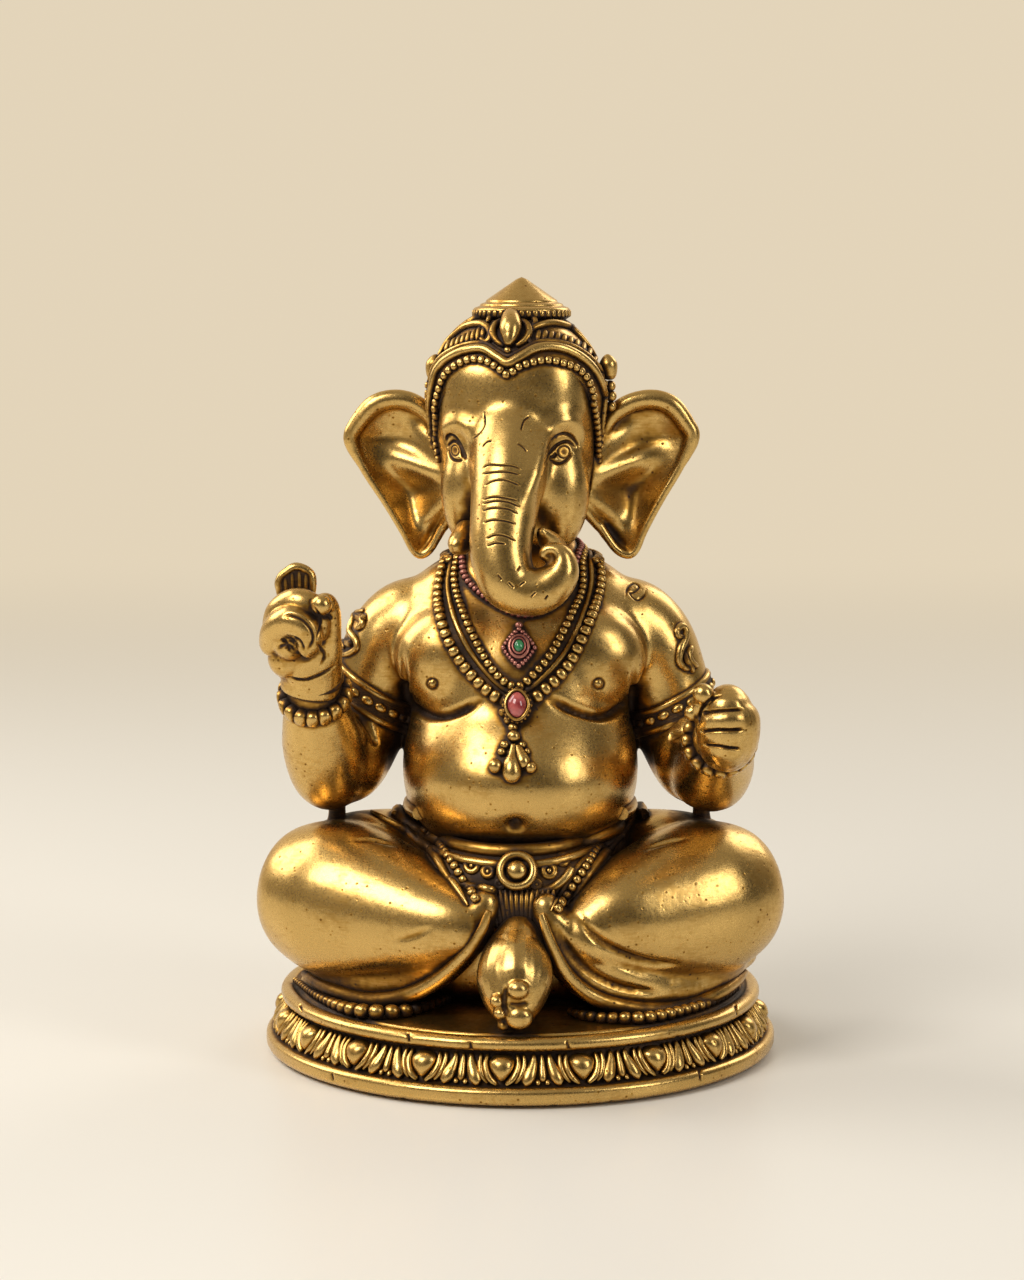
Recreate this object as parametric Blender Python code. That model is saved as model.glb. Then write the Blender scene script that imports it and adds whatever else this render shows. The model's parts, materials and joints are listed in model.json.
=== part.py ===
"""Seated elephant-headed idol on a round plinth.

The figure is cast in sections that seat in one another and are held down by a tie rod.
Sizes are in millimetres. Figure coordinates start at the middle of the plinth's top:
+X is the viewer's right, -Y faces the viewer and +Z is up.
"""

import math

import bmesh
import bpy
from mathutils import Matrix, Vector
from mathutils.bvhtree import BVHTree

MM = 0.001

# Plinth
BASE_RADIUS = 50.0
BASE_HEIGHT = 12.5
FOOT_RIM_HEIGHT = 3.7
PLATE_THICKNESS = 2.6
PLATE_STEP = 3.0
PLATE_LIP_WIDTH = 2.4
PLATE_LIP_HEIGHT = 0.5
BAND_TOP_STEP = 4.6
BAND_FOOT_STEP = 1.6
BAND_THICKNESS = 3.0
PETAL_COUNT = 26
PETAL_RELIEF = 0.8
FELT_THICKNESS = 1.6
FELT_MARGIN = 6.0
FELT_PROUD = 0.4
NUT_POCKET_RADIUS = 9.0
NUT_POCKET_DEPTH = 6.0

# Fasteners
ROD_RADIUS = 2.5
ROD_TOP = 44.0
NUT_ACROSS_FLATS = 8.0
NUT_HEIGHT = 4.0
WASHER_RADIUS = 6.0
WASHER_THICKNESS = 1.0
NECK_DOWEL_RADIUS = 2.4
NECK_DOWEL_LENGTH = 14.0
SPIGOT_RADIUS = 3.0
SPIGOT_LENGTH = 8.0
SPIGOT_IN_ARM = 8.0
ELBOW_PIN_RADIUS = 2.0
ELBOW_PIN_RISE = 1.5
ELBOW_PIN_DROP = 4.0

# Clearance between any two pieces that meet
GAP = 0.3

# Figure, as tall as this above the plinth. The tables below are drawn at DRAWN_HEIGHT.
FIGURE_HEIGHT = 137.5
DRAWN_HEIGHT = 137.5
SCALE = FIGURE_HEIGHT / DRAWN_HEIGHT

# Jewellery sections
STRAND_RADIUS = 1.25
CORD_RADIUS = 0.9
CHOKER_RADIUS = 1.0
BRACELET_RADIUS = 1.9
ARMLET_RADIUS = 1.6
BELT_RADIUS = 2.0
CROWN_BAND_RADIUS = 1.9
CROWN_WALL = 2.2
EAR_THICKNESS = 1.8
BUCKLE_RADIUS = 3.6
BUCKLE_DEPTH = 2.6
BUCKLE_BOSS_RADIUS = 2.0
BUCKLE_BOSS_FOOT = 1.4
BUCKLE_BOSS_TOP = 3.4
CREST_RADIUS = 3.2
CREST_SHOULDER_RADIUS = 3.0
CREST_TOP_RADIUS = 1.6
CREST_SHOULDER_RISE = 1.6
CREST_RISE = 2.2
CREST_SUNK = 1.0
PENDANT_HEIGHT = 2.2
BROOCH_HEIGHT = 1.4
STONE_WALL_RISE = 0.2
STONE_DOME_RISE = 0.8

# Where rings and crests sit along a limb, and how far a ring stands off its skin
ARMLET_AT = 0.52
ARMLET_LIFT = 0.4
BRACELET_AT = 0.78
BRACELET_LIFT = 0.2
CREST_AT = 0.38
CREST_LEAN = (-0.55, 0.1)
BUCKLE_PLACE = (-0.8, -31.0, 27.4)
NECK_DOWEL_FOOT = (0.5, 84.0)

# Level sections: height, half width, reach to the front, reach to the back, middle in Y
HIP_SECTIONS = (
    (0.3, 30.0, 22.0, 27.0, 2.0),
    (4.0, 32.0, 24.0, 29.0, 2.0),
    (12.0, 31.0, 24.0, 29.0, 2.0),
    (22.0, 27.0, 22.0, 25.0, 2.0),
    (30.0, 24.5, 21.0, 22.0, 2.0),
    (36.5, 22.5, 18.0, 20.0, 2.0),
)
TORSO_SECTIONS = (
    (29.0, 13.0, 14.0, 12.0, -4.0),
    (31.0, 18.0, 19.5, 15.0, -4.0),
    (36.0, 21.6, 24.5, 18.0, -4.0),
    (42.0, 22.8, 26.6, 20.0, -4.0),
    (47.0, 22.6, 26.0, 20.5, -3.5),
    (52.5, 21.4, 23.4, 20.0, -2.5),
    (56.5, 20.8, 21.0, 19.5, -2.0),
    (61.0, 22.4, 22.0, 19.0, -1.5),
    (67.0, 24.0, 19.8, 18.5, -1.0),
    (74.0, 24.2, 15.5, 17.0, 0.0),
    (79.0, 21.5, 12.5, 14.5, 1.0),
    (83.0, 15.0, 10.5, 11.0, 1.0),
    (86.0, 10.5, 8.5, 9.0, 1.0),
    (92.0, 9.0, 7.5, 8.0, 0.5),
)
HEAD_SECTIONS = (
    (87.5, 6.0, 8.0, 7.0, -3.0),
    (89.5, 9.6, 11.0, 10.0, -3.0),
    (94.0, 12.8, 12.5, 13.0, -3.0),
    (101.0, 14.2, 13.5, 14.5, -3.0),
    (109.0, 14.3, 14.0, 15.0, -3.0),
    (116.0, 14.4, 13.6, 15.0, -3.0),
    (122.0, 13.0, 11.5, 13.5, -3.0),
    (126.5, 9.0, 8.0, 9.0, -3.0),
    (128.5, 4.0, 4.0, 4.0, -3.0),
)
HEAD_MIDDLE_X = -0.8

# Round sections along a path: x, y, z, radius
TRUNK_PATH = (
    (-1.2, -10.0, 113.0, 7.6),
    (-1.8, -15.5, 106.0, 7.4),
    (-2.5, -20.5, 99.0, 6.6),
    (-3.4, -23.8, 92.5, 5.9),
    (-3.6, -25.8, 86.5, 5.5),
    (-2.2, -27.0, 81.8, 5.3),
    (1.2, -27.6, 80.2, 4.9),
    (5.2, -27.8, 81.2, 4.4),
    (7.4, -27.6, 84.4, 3.9),
    (6.4, -27.2, 87.3, 3.0),
    (4.2, -27.0, 87.4, 1.8),
)
# The viewer's left side is the figure's right. Left-hand pieces repeat these with x reversed.
LEG_PATH = (
    (48.4, -5.0, 20.5, 3.0),
    (46.4, -5.8, 20.4, 8.0),
    (42.5, -8.0, 19.8, 13.2),
    (35.0, -12.0, 18.8, 15.6),
    (26.0, -18.5, 17.6, 14.0),
    (17.5, -25.5, 17.0, 10.6),
    (10.5, -31.5, 17.6, 6.8),
    (5.5, -36.0, 19.0, 2.6),
)
UPPER_ARM_PATH = (
    (19.0, 2.0, 80.5, 4.5),
    (22.5, 2.0, 77.5, 8.4),
    (25.6, 2.0, 70.0, 8.2),
    (28.0, 2.0, 60.0, 7.6),
    (31.0, 1.0, 49.0, 7.8),
    (33.5, -1.5, 41.5, 6.0),
    (34.5, -3.0, 37.5, 2.5),
)
RAISED_FOREARM_PATH = (
    (-35.6, -5.0, 36.6, 2.4),
    (-36.4, -7.5, 40.5, 6.6),
    (-37.8, -11.5, 47.0, 8.4),
    (-38.6, -16.0, 54.0, 7.2),
    (-38.8, -19.5, 59.5, 5.6),
    (-39.2, -22.0, 64.0, 5.2),
)
LEVEL_FOREARM_PATH = (
    (35.2, -4.0, 36.6, 2.4),
    (36.2, -7.0, 40.5, 7.0),
    (37.2, -13.0, 45.0, 8.0),
    (37.4, -19.0, 48.5, 7.0),
    (37.4, -24.5, 51.5, 5.8),
    (37.4, -27.0, 53.0, 5.4),
)
RAISED_FIST_PATH = (
    (-39.0, -21.6, 63.0, 4.0),
    (-39.6, -22.8, 66.0, 6.2),
    (-40.4, -24.2, 70.5, 7.4),
    (-40.8, -25.0, 75.0, 6.4),
    (-40.8, -25.0, 78.0, 3.0),
)
RAISED_THUMB_PATH = (
    (-36.0, -23.0, 67.0, 2.0),
    (-34.6, -24.5, 71.5, 2.9),
    (-35.2, -26.5, 75.5, 2.6),
    (-36.6, -28.0, 77.2, 2.0),
)
LEVEL_FIST_PATH = (
    (37.4, -24.6, 51.0, 4.0),
    (37.3, -27.0, 52.8, 6.4),
    (37.2, -30.0, 55.0, 7.4),
    (37.0, -33.0, 57.0, 6.4),
    (37.0, -35.0, 58.2, 3.0),
)
LEVEL_THUMB_PATH = (
    (33.0, -27.0, 52.0, 2.0),
    (31.4, -29.5, 55.5, 2.6),
    (32.0, -31.5, 59.5, 2.4),
    (34.0, -32.5, 61.6, 1.8),
)
# The lowest finger of each fist. The others lie above it.
RAISED_FINGER = (
    (-46.6, -25.4, 66.6, 0.8),
    (-45.6, -28.0, 66.4, 1.8),
    (-42.6, -30.6, 66.2, 2.0),
    (-39.6, -30.4, 66.2, 1.0),
)
LEVEL_FINGER = (
    (32.0, -33.2, 50.4, 0.8),
    (33.2, -34.4, 50.4, 1.7),
    (37.4, -35.4, 50.2, 1.9),
    (41.8, -33.6, 50.4, 1.5),
    (43.0, -31.6, 50.6, 0.8),
)
FINGER_COUNT = 4
FINGER_PITCH = 3.1
FINGER_LEAN = 0.1
TOES = (
    (0.6, -44.6, 2.7, 2.2),
    (0.2, -43.6, 6.4, 2.2),
    (-3.8, -43.6, 3.2, 1.9),
    (-6.0, -41.4, 4.6, 1.7),
)
RIGHT_CHEEK = (-9.4, -10.0, 93.6, 5.6)
LEFT_CHEEK = (6.6, -10.6, 92.6, 5.4)
LOTUS_PATH = (
    (-41.8, -24.2, 76.0, 1.6),
    (-42.0, -24.0, 79.0, 3.2),
    (-42.2, -23.6, 82.2, 3.8),
    (-42.2, -23.4, 85.0, 1.2),
)
FOOT_PATH = (
    (-0.8, -30.0, 20.0, 3.5),
    (-0.9, -32.5, 17.0, 6.6),
    (-1.2, -36.0, 11.5, 7.6),
    (-1.2, -39.5, 7.2, 6.6),
    (-1.0, -42.6, 4.6, 4.3),
    (-0.8, -44.2, 3.4, 2.4),
)
HEM_PATH = (
    (4.6, -35.2, 15.5, 1.4),
    (8.0, -36.0, 10.0, 2.0),
    (13.5, -34.0, 5.0, 2.3),
    (21.0, -31.0, 2.9, 2.4),
    (29.0, -26.5, 2.7, 2.2),
    (36.0, -20.5, 2.7, 2.0),
    (40.5, -13.0, 2.6, 1.6),
)
HEM_BEAD_PATH = (
    (15.0, -40.0, 1.5, 1.1),
    (21.0, -37.8, 1.5, 1.1),
    (28.0, -33.2, 1.5, 1.1),
    (35.0, -26.6, 1.5, 1.1),
    (40.5, -18.8, 1.5, 1.1),
    (43.0, -11.0, 1.5, 1.1),
)
SASH_PATH = (
    (20.0, -14.0, 28.6, 1.5),
    (17.2, -21.6, 27.6, 2.2),
    (13.4, -28.2, 25.4, 2.3),
    (9.2, -33.4, 22.6, 2.1),
    (6.4, -36.0, 20.4, 1.6),
)
APRON_PATH = (
    (-0.8, -22.0, 26.0, 3.0),
    (-0.8, -28.0, 22.0, 5.5),
    (-0.8, -31.0, 17.0, 5.0),
    (-0.8, -32.0, 13.0, 3.0),
)
BELT_LOOP = (
    (0.0, -31.0, 29.5),
    (12.0, -26.8, 30.8),
    (21.5, -13.0, 34.6),
    (23.5, 2.0, 37.2),
    (17.5, 15.5, 38.6),
    (0.0, 21.5, 39.2),
)
CROWN_BAND_PATH = (
    (-16.4, -2.0, 95.5),
    (-16.9, -5.0, 107.0),
    (-15.6, -9.5, 117.0),
    (-9.3, -14.0, 123.2),
    (-1.8, -16.6, 120.6),
    (6.3, -14.6, 123.6),
    (14.2, -9.8, 117.6),
    (15.9, -5.0, 107.0),
    (15.6, -2.0, 95.5),
)
CROWN_PLANE_POINT = (0.0, -13.0, 121.5)
CROWN_PLANE_NORMAL = (0.0, -0.93, -0.36)
CROWN_FOOT = 101.0
FINIAL_PROFILE = (
    (0.0, 137.5),
    (1.4, 137.0),
    (5.0, 133.6),
    (8.2, 131.2),
    (9.5, 130.4),
    (9.6, 129.0),
    (8.8, 128.2),
    (0.0, 128.2),
)
FINIAL_MIDDLE = (0.2, -1.0)
JEWEL_PATH = (
    (-1.8, -13.0, 131.0, 0.8),
    (-1.9, -14.8, 128.0, 2.4),
    (-2.0, -16.0, 125.6, 2.6),
    (-2.0, -16.8, 123.4, 1.0),
)
ROSETTE_PATH = (
    (18.6, -1.0, 122.0, 0.8),
    (19.0, -1.4, 119.0, 2.0),
    (19.0, -1.4, 116.0, 2.2),
    (18.4, -1.0, 113.0, 1.2),
)
EAR_ROOT = (
    (14.0, -1.5, 110.0),
    (14.2, -1.0, 102.0),
    (14.4, 0.0, 95.0),
    (16.0, 1.0, 88.5),
)
EAR_MIDDLE = (
    (21.5, 3.0, 115.0),
    (22.0, 5.5, 105.0),
    (20.5, 5.5, 96.0),
    (17.6, 3.0, 86.2),
)
EAR_RIM = (
    (25.5, -1.0, 115.2),
    (34.2, 2.0, 106.0),
    (26.5, 4.0, 94.5),
    (19.2, 2.5, 83.0),
)
RIGHT_TUSK_PATH = (
    (-8.6, -11.0, 90.5, 2.6),
    (-9.6, -14.5, 88.8, 2.3),
    (-10.4, -17.5, 88.4, 1.4),
    (-10.6, -18.8, 88.6, 0.5),
)
LEFT_TUSK_PATH = (
    (5.4, -12.0, 93.0, 2.4),
    (5.6, -15.0, 91.6, 2.2),
    (5.8, -18.0, 90.8, 1.4),
    (5.9, -19.6, 90.8, 0.5),
)
# Necklaces as seen from the front: x and z, laid on the torso's own surface
OUTER_STRAND = ((-1.0, 58.6), (5.5, 62.5), (11.5, 70.0), (15.6, 76.0), (16.6, 80.0))
CORD_STRAND = ((-1.0, 61.4), (4.4, 65.6), (9.4, 72.0), (13.0, 77.0), (14.3, 80.8))
INNER_STRAND = ((-1.0, 64.2), (3.6, 68.6), (7.4, 74.4), (10.6, 78.4), (12.2, 81.6))
CHOKER_STRAND = ((-1.0, 73.0), (2.6, 74.6), (5.8, 78.0), (8.6, 81.4), (10.2, 83.4))
# How far each strand sags behind the neck
OUTER_SAG = 6.0
CORD_SAG = 3.5
INNER_SAG = 0.8
CHOKER_SAG = -1.0
PENDANT = (-0.8, 55.2, 3.2)
PENDANT_DROP_TOP = 50.6
PENDANT_DROP_FOOT = 43.6
BROOCH = (-0.4, 69.0, 2.4)
STONE_SHARE = 0.6

RIGHT = -1
LEFT = 1
BODY_SIDES = 20
LIMB_SIDES = 12
SMALL_SIDES = 8
STRAND_SIDES = 6
TURNED_SIDES = 40


def clear_scene():
    for old in list(bpy.data.objects):
        bpy.data.objects.remove(old)


def make_material(name, colour, roughness, metallic):
    made = bpy.data.materials.new(name)
    made.use_nodes = True
    shader = made.node_tree.nodes["Principled BSDF"]
    shader.inputs["Base Color"].default_value = (*colour, 1.0)
    shader.inputs["Roughness"].default_value = roughness
    shader.inputs["Metallic"].default_value = metallic
    return made


def make_empty(name, height):
    empty = bpy.data.objects.new(name, None)
    empty.location = (0.0, 0.0, height * MM)
    bpy.context.scene.collection.objects.link(empty)
    return empty


def add_object(name, bm, frame, finish):
    """Turns a mesh drawn in millimetres into a named object that stands in the given frame."""
    bmesh.ops.remove_doubles(bm, verts=bm.verts, dist=1e-4)
    bmesh.ops.recalc_face_normals(bm, faces=bm.faces)
    bmesh.ops.scale(bm, vec=(MM, MM, MM), verts=bm.verts)
    mesh = bpy.data.meshes.new(name)
    bm.to_mesh(mesh)
    bm.free()
    mesh.materials.append(finish)
    mesh.shade_smooth()
    mesh.set_sharp_from_angle(angle=math.radians(40.0))
    made = bpy.data.objects.new(name, mesh)
    made.parent = frame
    bpy.context.scene.collection.objects.link(made)
    return made


def curve_through(points, count):
    """Count evenly stepped samples of a smooth curve through the points, extra values included."""
    last = len(points) - 1
    samples = []
    for i in range(count):
        at = last * i / (count - 1)
        k = min(int(at), last - 1)
        t = at - k
        p0, p1, p2, p3 = (points[max(0, min(last, k + d))] for d in (-1, 0, 1, 2))
        samples.append(tuple(
            0.5 * (2 * b + (c - a) * t + (2 * a - 5 * b + 4 * c - d) * t**2
                   + (3 * b - a - 3 * c + d) * t**3)
            for a, b, c, d in zip(p0, p1, p2, p3)
        ))
    return samples


def skin(rings, closed=False):
    """One surface over rings of equally many points, with its ends capped unless it closes."""
    bm = bmesh.new()
    loops = [[bm.verts.new(point) for point in ring] for ring in rings]
    pairs = list(zip(loops, loops[1:]))
    if closed:
        pairs.append((loops[-1], loops[0]))
    for low, high in pairs:
        sides = len(low)
        for i in range(sides):
            bm.faces.new((low[i], low[(i + 1) % sides], high[(i + 1) % sides], high[i]))
    if not closed:
        bm.faces.new(reversed(loops[0]))
        bm.faces.new(loops[-1])
    return bm


def level_body(sections, rings, middle_x=0.0):
    """A body of level oval rings, whose front and back may reach differently."""
    shape = []
    for z, half, front, back, middle_y in curve_through(sections, rings):
        ring = []
        for i in range(BODY_SIDES):
            turn = 2 * math.pi * i / BODY_SIDES
            reach = back if math.sin(turn) > 0 else front
            ring.append(SCALE * Vector((
                middle_x + half * math.cos(turn), middle_y + reach * math.sin(turn), z)))
        shape.append(ring)
    return skin(shape)


def tube(stations, sides, closed=False, flat=1.0):
    """A tube of round sections square to its path. Flat squeezes or widens each section one way."""
    points = [Vector(s[:3]) for s in stations]
    count = len(points)
    across = None
    rings = []
    for i, station in enumerate(stations):
        ahead = points[(i + 1) % count] if closed or i + 1 < count else points[i]
        behind = points[i - 1] if closed or i else points[i]
        along = (ahead - behind).normalized()
        if across is None:
            across = along.orthogonal().normalized()
        across = (across - along * across.dot(along)).normalized()
        up = along.cross(across)
        radius = station[3]
        rings.append([
            points[i] + radius * (math.cos(a) * across + flat * math.sin(a) * up)
            for a in (2 * math.pi * k / sides for k in range(sides))
        ])
    return skin(rings, closed)


def limb(path, rings, sides, side=1, flat=1.0):
    """A tapering limb along a path, mirrored to the other side of the figure by side -1."""
    stations = [
        (SCALE * side * x, SCALE * y, SCALE * z, SCALE * radius)
        for x, y, z, radius in curve_through(path, rings)
    ]
    return tube(stations, sides, flat=flat)


def turned(profile, sides=TURNED_SIDES, middle=(0.0, 0.0)):
    """A turned piece. The profile runs from the axis round to the axis, or is a closed outline."""
    on_axis = profile[0][0] == 0.0
    bm = bmesh.new()
    verts = [bm.verts.new((radius, 0.0, z)) for radius, z in profile]
    edges = [bm.edges.new(pair) for pair in zip(verts, verts[1:])]
    if not on_axis:
        edges.append(bm.edges.new((verts[-1], verts[0])))
    bmesh.ops.spin(bm, geom=verts + edges, cent=(0, 0, 0), axis=(0, 0, 1),
                   angle=2 * math.pi, steps=sides, use_merge=True)
    bmesh.ops.remove_doubles(bm, verts=bm.verts, dist=1e-4)
    bmesh.ops.translate(bm, vec=(*middle, 0.0), verts=bm.verts)
    return bm


def ball(x, y, z, radius):
    """A small round swelling."""
    bm = bmesh.new()
    bmesh.ops.create_icosphere(bm, subdivisions=2, radius=SCALE * radius)
    bmesh.ops.translate(bm, vec=SCALE * Vector((x, y, z)), verts=bm.verts)
    return bm


def rod(radius, start, end, sides=SMALL_SIDES):
    """A straight round bar between two points."""
    start, end = Vector(start), Vector(end)
    return tube([(*start, radius), (*end, radius)], sides)


def helper(piece):
    """Keeps an object as a cutter or a joined shape only."""
    piece.hide_render = True
    piece.display_type = "WIRE"
    return piece


def grown(piece, gap):
    """A cutter that is the piece's own shape with all its faces moved out by the gap."""
    bm = bmesh.new()
    bm.from_mesh(piece.data)
    bm.normal_update()
    moved = [(v, v.co + v.normal * gap * MM) for v in bm.verts]
    for vert, place in moved:
        vert.co = place
    mesh = bpy.data.meshes.new(piece.name + "_room")
    bm.to_mesh(mesh)
    bm.free()
    cutter = bpy.data.objects.new(piece.name + "_room", mesh)
    cutter.parent = piece.parent
    bpy.context.scene.collection.objects.link(cutter)
    return helper(cutter)


ROOM = {}


def room_of(piece):
    if piece.name not in ROOM:
        ROOM[piece.name] = grown(piece, GAP)
    return ROOM[piece.name]


def add_boolean(piece, operation, other):
    modifier = piece.modifiers.new(f"{operation.lower()} {other.name}", "BOOLEAN")
    modifier.operation = operation
    modifier.object = other
    modifier.solver = "EXACT"


def seat(piece, *neighbours):
    """Cuts room for the neighbours out of a piece, so that it seats against them."""
    for other in neighbours:
        add_boolean(piece, "DIFFERENCE", room_of(other))


def fuse(piece, *shapes):
    """Joins shapes to a piece as one casting."""
    for shape in shapes:
        add_boolean(piece, "UNION", helper(shape))


def surface(piece):
    return BVHTree.FromPolygons(
        [v.co / MM for v in piece.data.vertices],
        [tuple(p.vertices) for p in piece.data.polygons],
    )


def laid_on(tree, x, z, lift, back=False):
    """The point over a body's front or back at this width and height, lifted off its surface."""
    reach = 200.0 if back else -200.0
    hit, normal, _, _ = tree.ray_cast(Vector((x, reach, z)), Vector((0, -reach, 0)))
    return hit + lift * normal


def over_shoulder(tree, start, end, lift):
    """Points on top of the body between a strand's ends in front and behind."""
    places = []
    for share in (0.2, 0.4, 0.6, 0.8):
        flat = start.lerp(end, share)
        hit, normal, _, _ = tree.ray_cast(Vector((flat.x, flat.y, 400.0)), Vector((0, 0, -1)))
        places.append(hit + lift * normal)
    return places


def build_plinth(frame, finish):
    plate_radius = BASE_RADIUS - PLATE_STEP
    plate_foot = BASE_HEIGHT - PLATE_THICKNESS
    band_top = BASE_RADIUS - BAND_TOP_STEP
    band_foot = BASE_RADIUS - BAND_FOOT_STEP
    core_top = band_top - BAND_THICKNESS - GAP
    core_foot = band_foot - BAND_THICKNESS - GAP
    felt_radius = BASE_RADIUS - FELT_MARGIN
    pocket_top = FELT_THICKNESS + NUT_POCKET_DEPTH
    bore = ROD_RADIUS + GAP
    pieces = {}
    pieces["base_plinth"] = add_object("base_plinth", turned((
        (BASE_RADIUS - 0.4, FELT_PROUD),
        (BASE_RADIUS, FELT_PROUD + 0.4),
        (BASE_RADIUS, FOOT_RIM_HEIGHT - 0.5),
        (BASE_RADIUS - 0.5, FOOT_RIM_HEIGHT),
        (core_foot, FOOT_RIM_HEIGHT),
        (core_top, plate_foot - GAP),
        (bore, plate_foot - GAP),
        (bore, pocket_top),
        (NUT_POCKET_RADIUS, pocket_top),
        (NUT_POCKET_RADIUS, FELT_THICKNESS + GAP),
        (felt_radius + GAP, FELT_THICKNESS + GAP),
        (felt_radius + GAP, FELT_PROUD),
    )), frame, finish["brass"])
    pieces["felt_pad"] = add_object("felt_pad", turned((
        (0.0, FELT_THICKNESS),
        (felt_radius, FELT_THICKNESS),
        (felt_radius, 0.0),
        (0.0, 0.0),
    )), frame, finish["felt"])
    pieces["petal_band"] = add_object(
        "petal_band", petal_ring(band_foot, band_top, plate_foot), frame, finish["brass"])
    pieces["top_plate"] = add_object("top_plate", turned((
        (plate_radius - 0.6, BASE_HEIGHT),
        (plate_radius, BASE_HEIGHT - 0.6),
        (plate_radius, plate_foot + 0.6),
        (plate_radius - 0.6, plate_foot),
        (bore, plate_foot),
        (bore, BASE_HEIGHT - PLATE_LIP_HEIGHT),
        (plate_radius - PLATE_LIP_WIDTH, BASE_HEIGHT - PLATE_LIP_HEIGHT),
        (plate_radius - PLATE_LIP_WIDTH + 0.5, BASE_HEIGHT),
    )), frame, finish["brass"])
    washer_top = pocket_top - GAP
    nut_top = washer_top - WASHER_THICKNESS - GAP
    pieces["rod_washer"] = add_object("rod_washer", turned((
        (WASHER_RADIUS, washer_top),
        (WASHER_RADIUS, washer_top - WASHER_THICKNESS),
        (bore, washer_top - WASHER_THICKNESS),
        (bore, washer_top),
    ), 24), frame, finish["steel"])
    pieces["rod_nut"] = add_object("rod_nut", hex_nut(bore, nut_top), frame, finish["steel"])
    pieces["tie_rod"] = add_object("tie_rod", rod(
        ROD_RADIUS, (0, 0, FELT_THICKNESS + GAP), (0, 0, BASE_HEIGHT + ROD_TOP * SCALE), 16),
        frame, finish["steel"])
    return pieces


def petal_ring(foot_radius, top_radius, top):
    """The moulded band: a ring whose outside swells into petals between plate and foot rim."""
    low, high = FOOT_RIM_HEIGHT + GAP, top - GAP
    per_petal = 3
    rings = []
    for i in range(PETAL_COUNT * per_petal):
        turn = 2 * math.pi * i / (PETAL_COUNT * per_petal)
        swell = PETAL_RELIEF * (1 - math.cos(2 * math.pi * i / per_petal)) / 2
        outline = (
            (foot_radius - BAND_THICKNESS, low),
            (foot_radius - PETAL_RELIEF, low),
            (foot_radius - PETAL_RELIEF + swell, low + 0.8),
            (top_radius - PETAL_RELIEF + swell, high - 0.8),
            (top_radius - PETAL_RELIEF, high),
            (top_radius - BAND_THICKNESS, high),
        )
        rings.append([Vector((r * math.cos(turn), r * math.sin(turn), z)) for r, z in outline])
    return skin(rings, closed=True)


def hex_nut(bore, top):
    corner = NUT_ACROSS_FLATS / 2 / math.cos(math.pi / 6)
    sides = 24
    rings = []
    for i in range(sides):
        turn = 2 * math.pi * i / sides
        to_flat = (turn + math.pi / 6) % (math.pi / 3) - math.pi / 6
        flat = corner * math.cos(math.pi / 6) / math.cos(to_flat)
        rings.append([
            Vector((r * math.cos(turn), r * math.sin(turn), z))
            for r, z in ((bore, top), (flat, top), (flat, top - NUT_HEIGHT), (bore, top - NUT_HEIGHT))
        ])
    return skin(rings, closed=True)


def build_body(frame, finish, base):
    brass = finish["brass"]
    torso = add_object("torso", level_body(TORSO_SECTIONS, 19), frame, brass)
    hips = add_object("hips", level_body(HIP_SECTIONS, 10), frame, brass)
    seat(hips, torso, base["tie_rod"])
    seat(torso, base["tie_rod"])
    pieces = {"torso": torso, "hips": hips}
    for side, name in ((RIGHT, "right"), (LEFT, "left")):
        leg = add_object(f"{name}_leg", limb(LEG_PATH, 12, LIMB_SIDES + 2, side), frame, brass)
        seat(leg, hips, torso)
        pieces[leg.name] = leg
    foot = add_object("foot", limb(FOOT_PATH, 11, LIMB_SIDES), frame, brass)
    toes = [
        add_object(f"foot_toe_{i}", ball(*toe), frame, brass) for i, toe in enumerate(TOES)
    ]
    fuse(foot, *toes)
    seat(foot, pieces["right_leg"], pieces["left_leg"], hips)
    pieces["foot"] = foot
    for side, name in ((RIGHT, "right"), (LEFT, "left")):
        leg = pieces[f"{name}_leg"]
        hem = add_object(f"{name}_leg_hem", limb(HEM_PATH, 13, STRAND_SIDES, side), frame, brass)
        seat(hem, leg, hips, foot, *toes)
        beads = add_object(f"{name}_hem_beads", limb(HEM_BEAD_PATH, 11, STRAND_SIDES, side), frame, brass)
        seat(beads, hem, leg)
        pieces[hem.name] = hem
        pieces[beads.name] = beads
    return pieces


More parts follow.
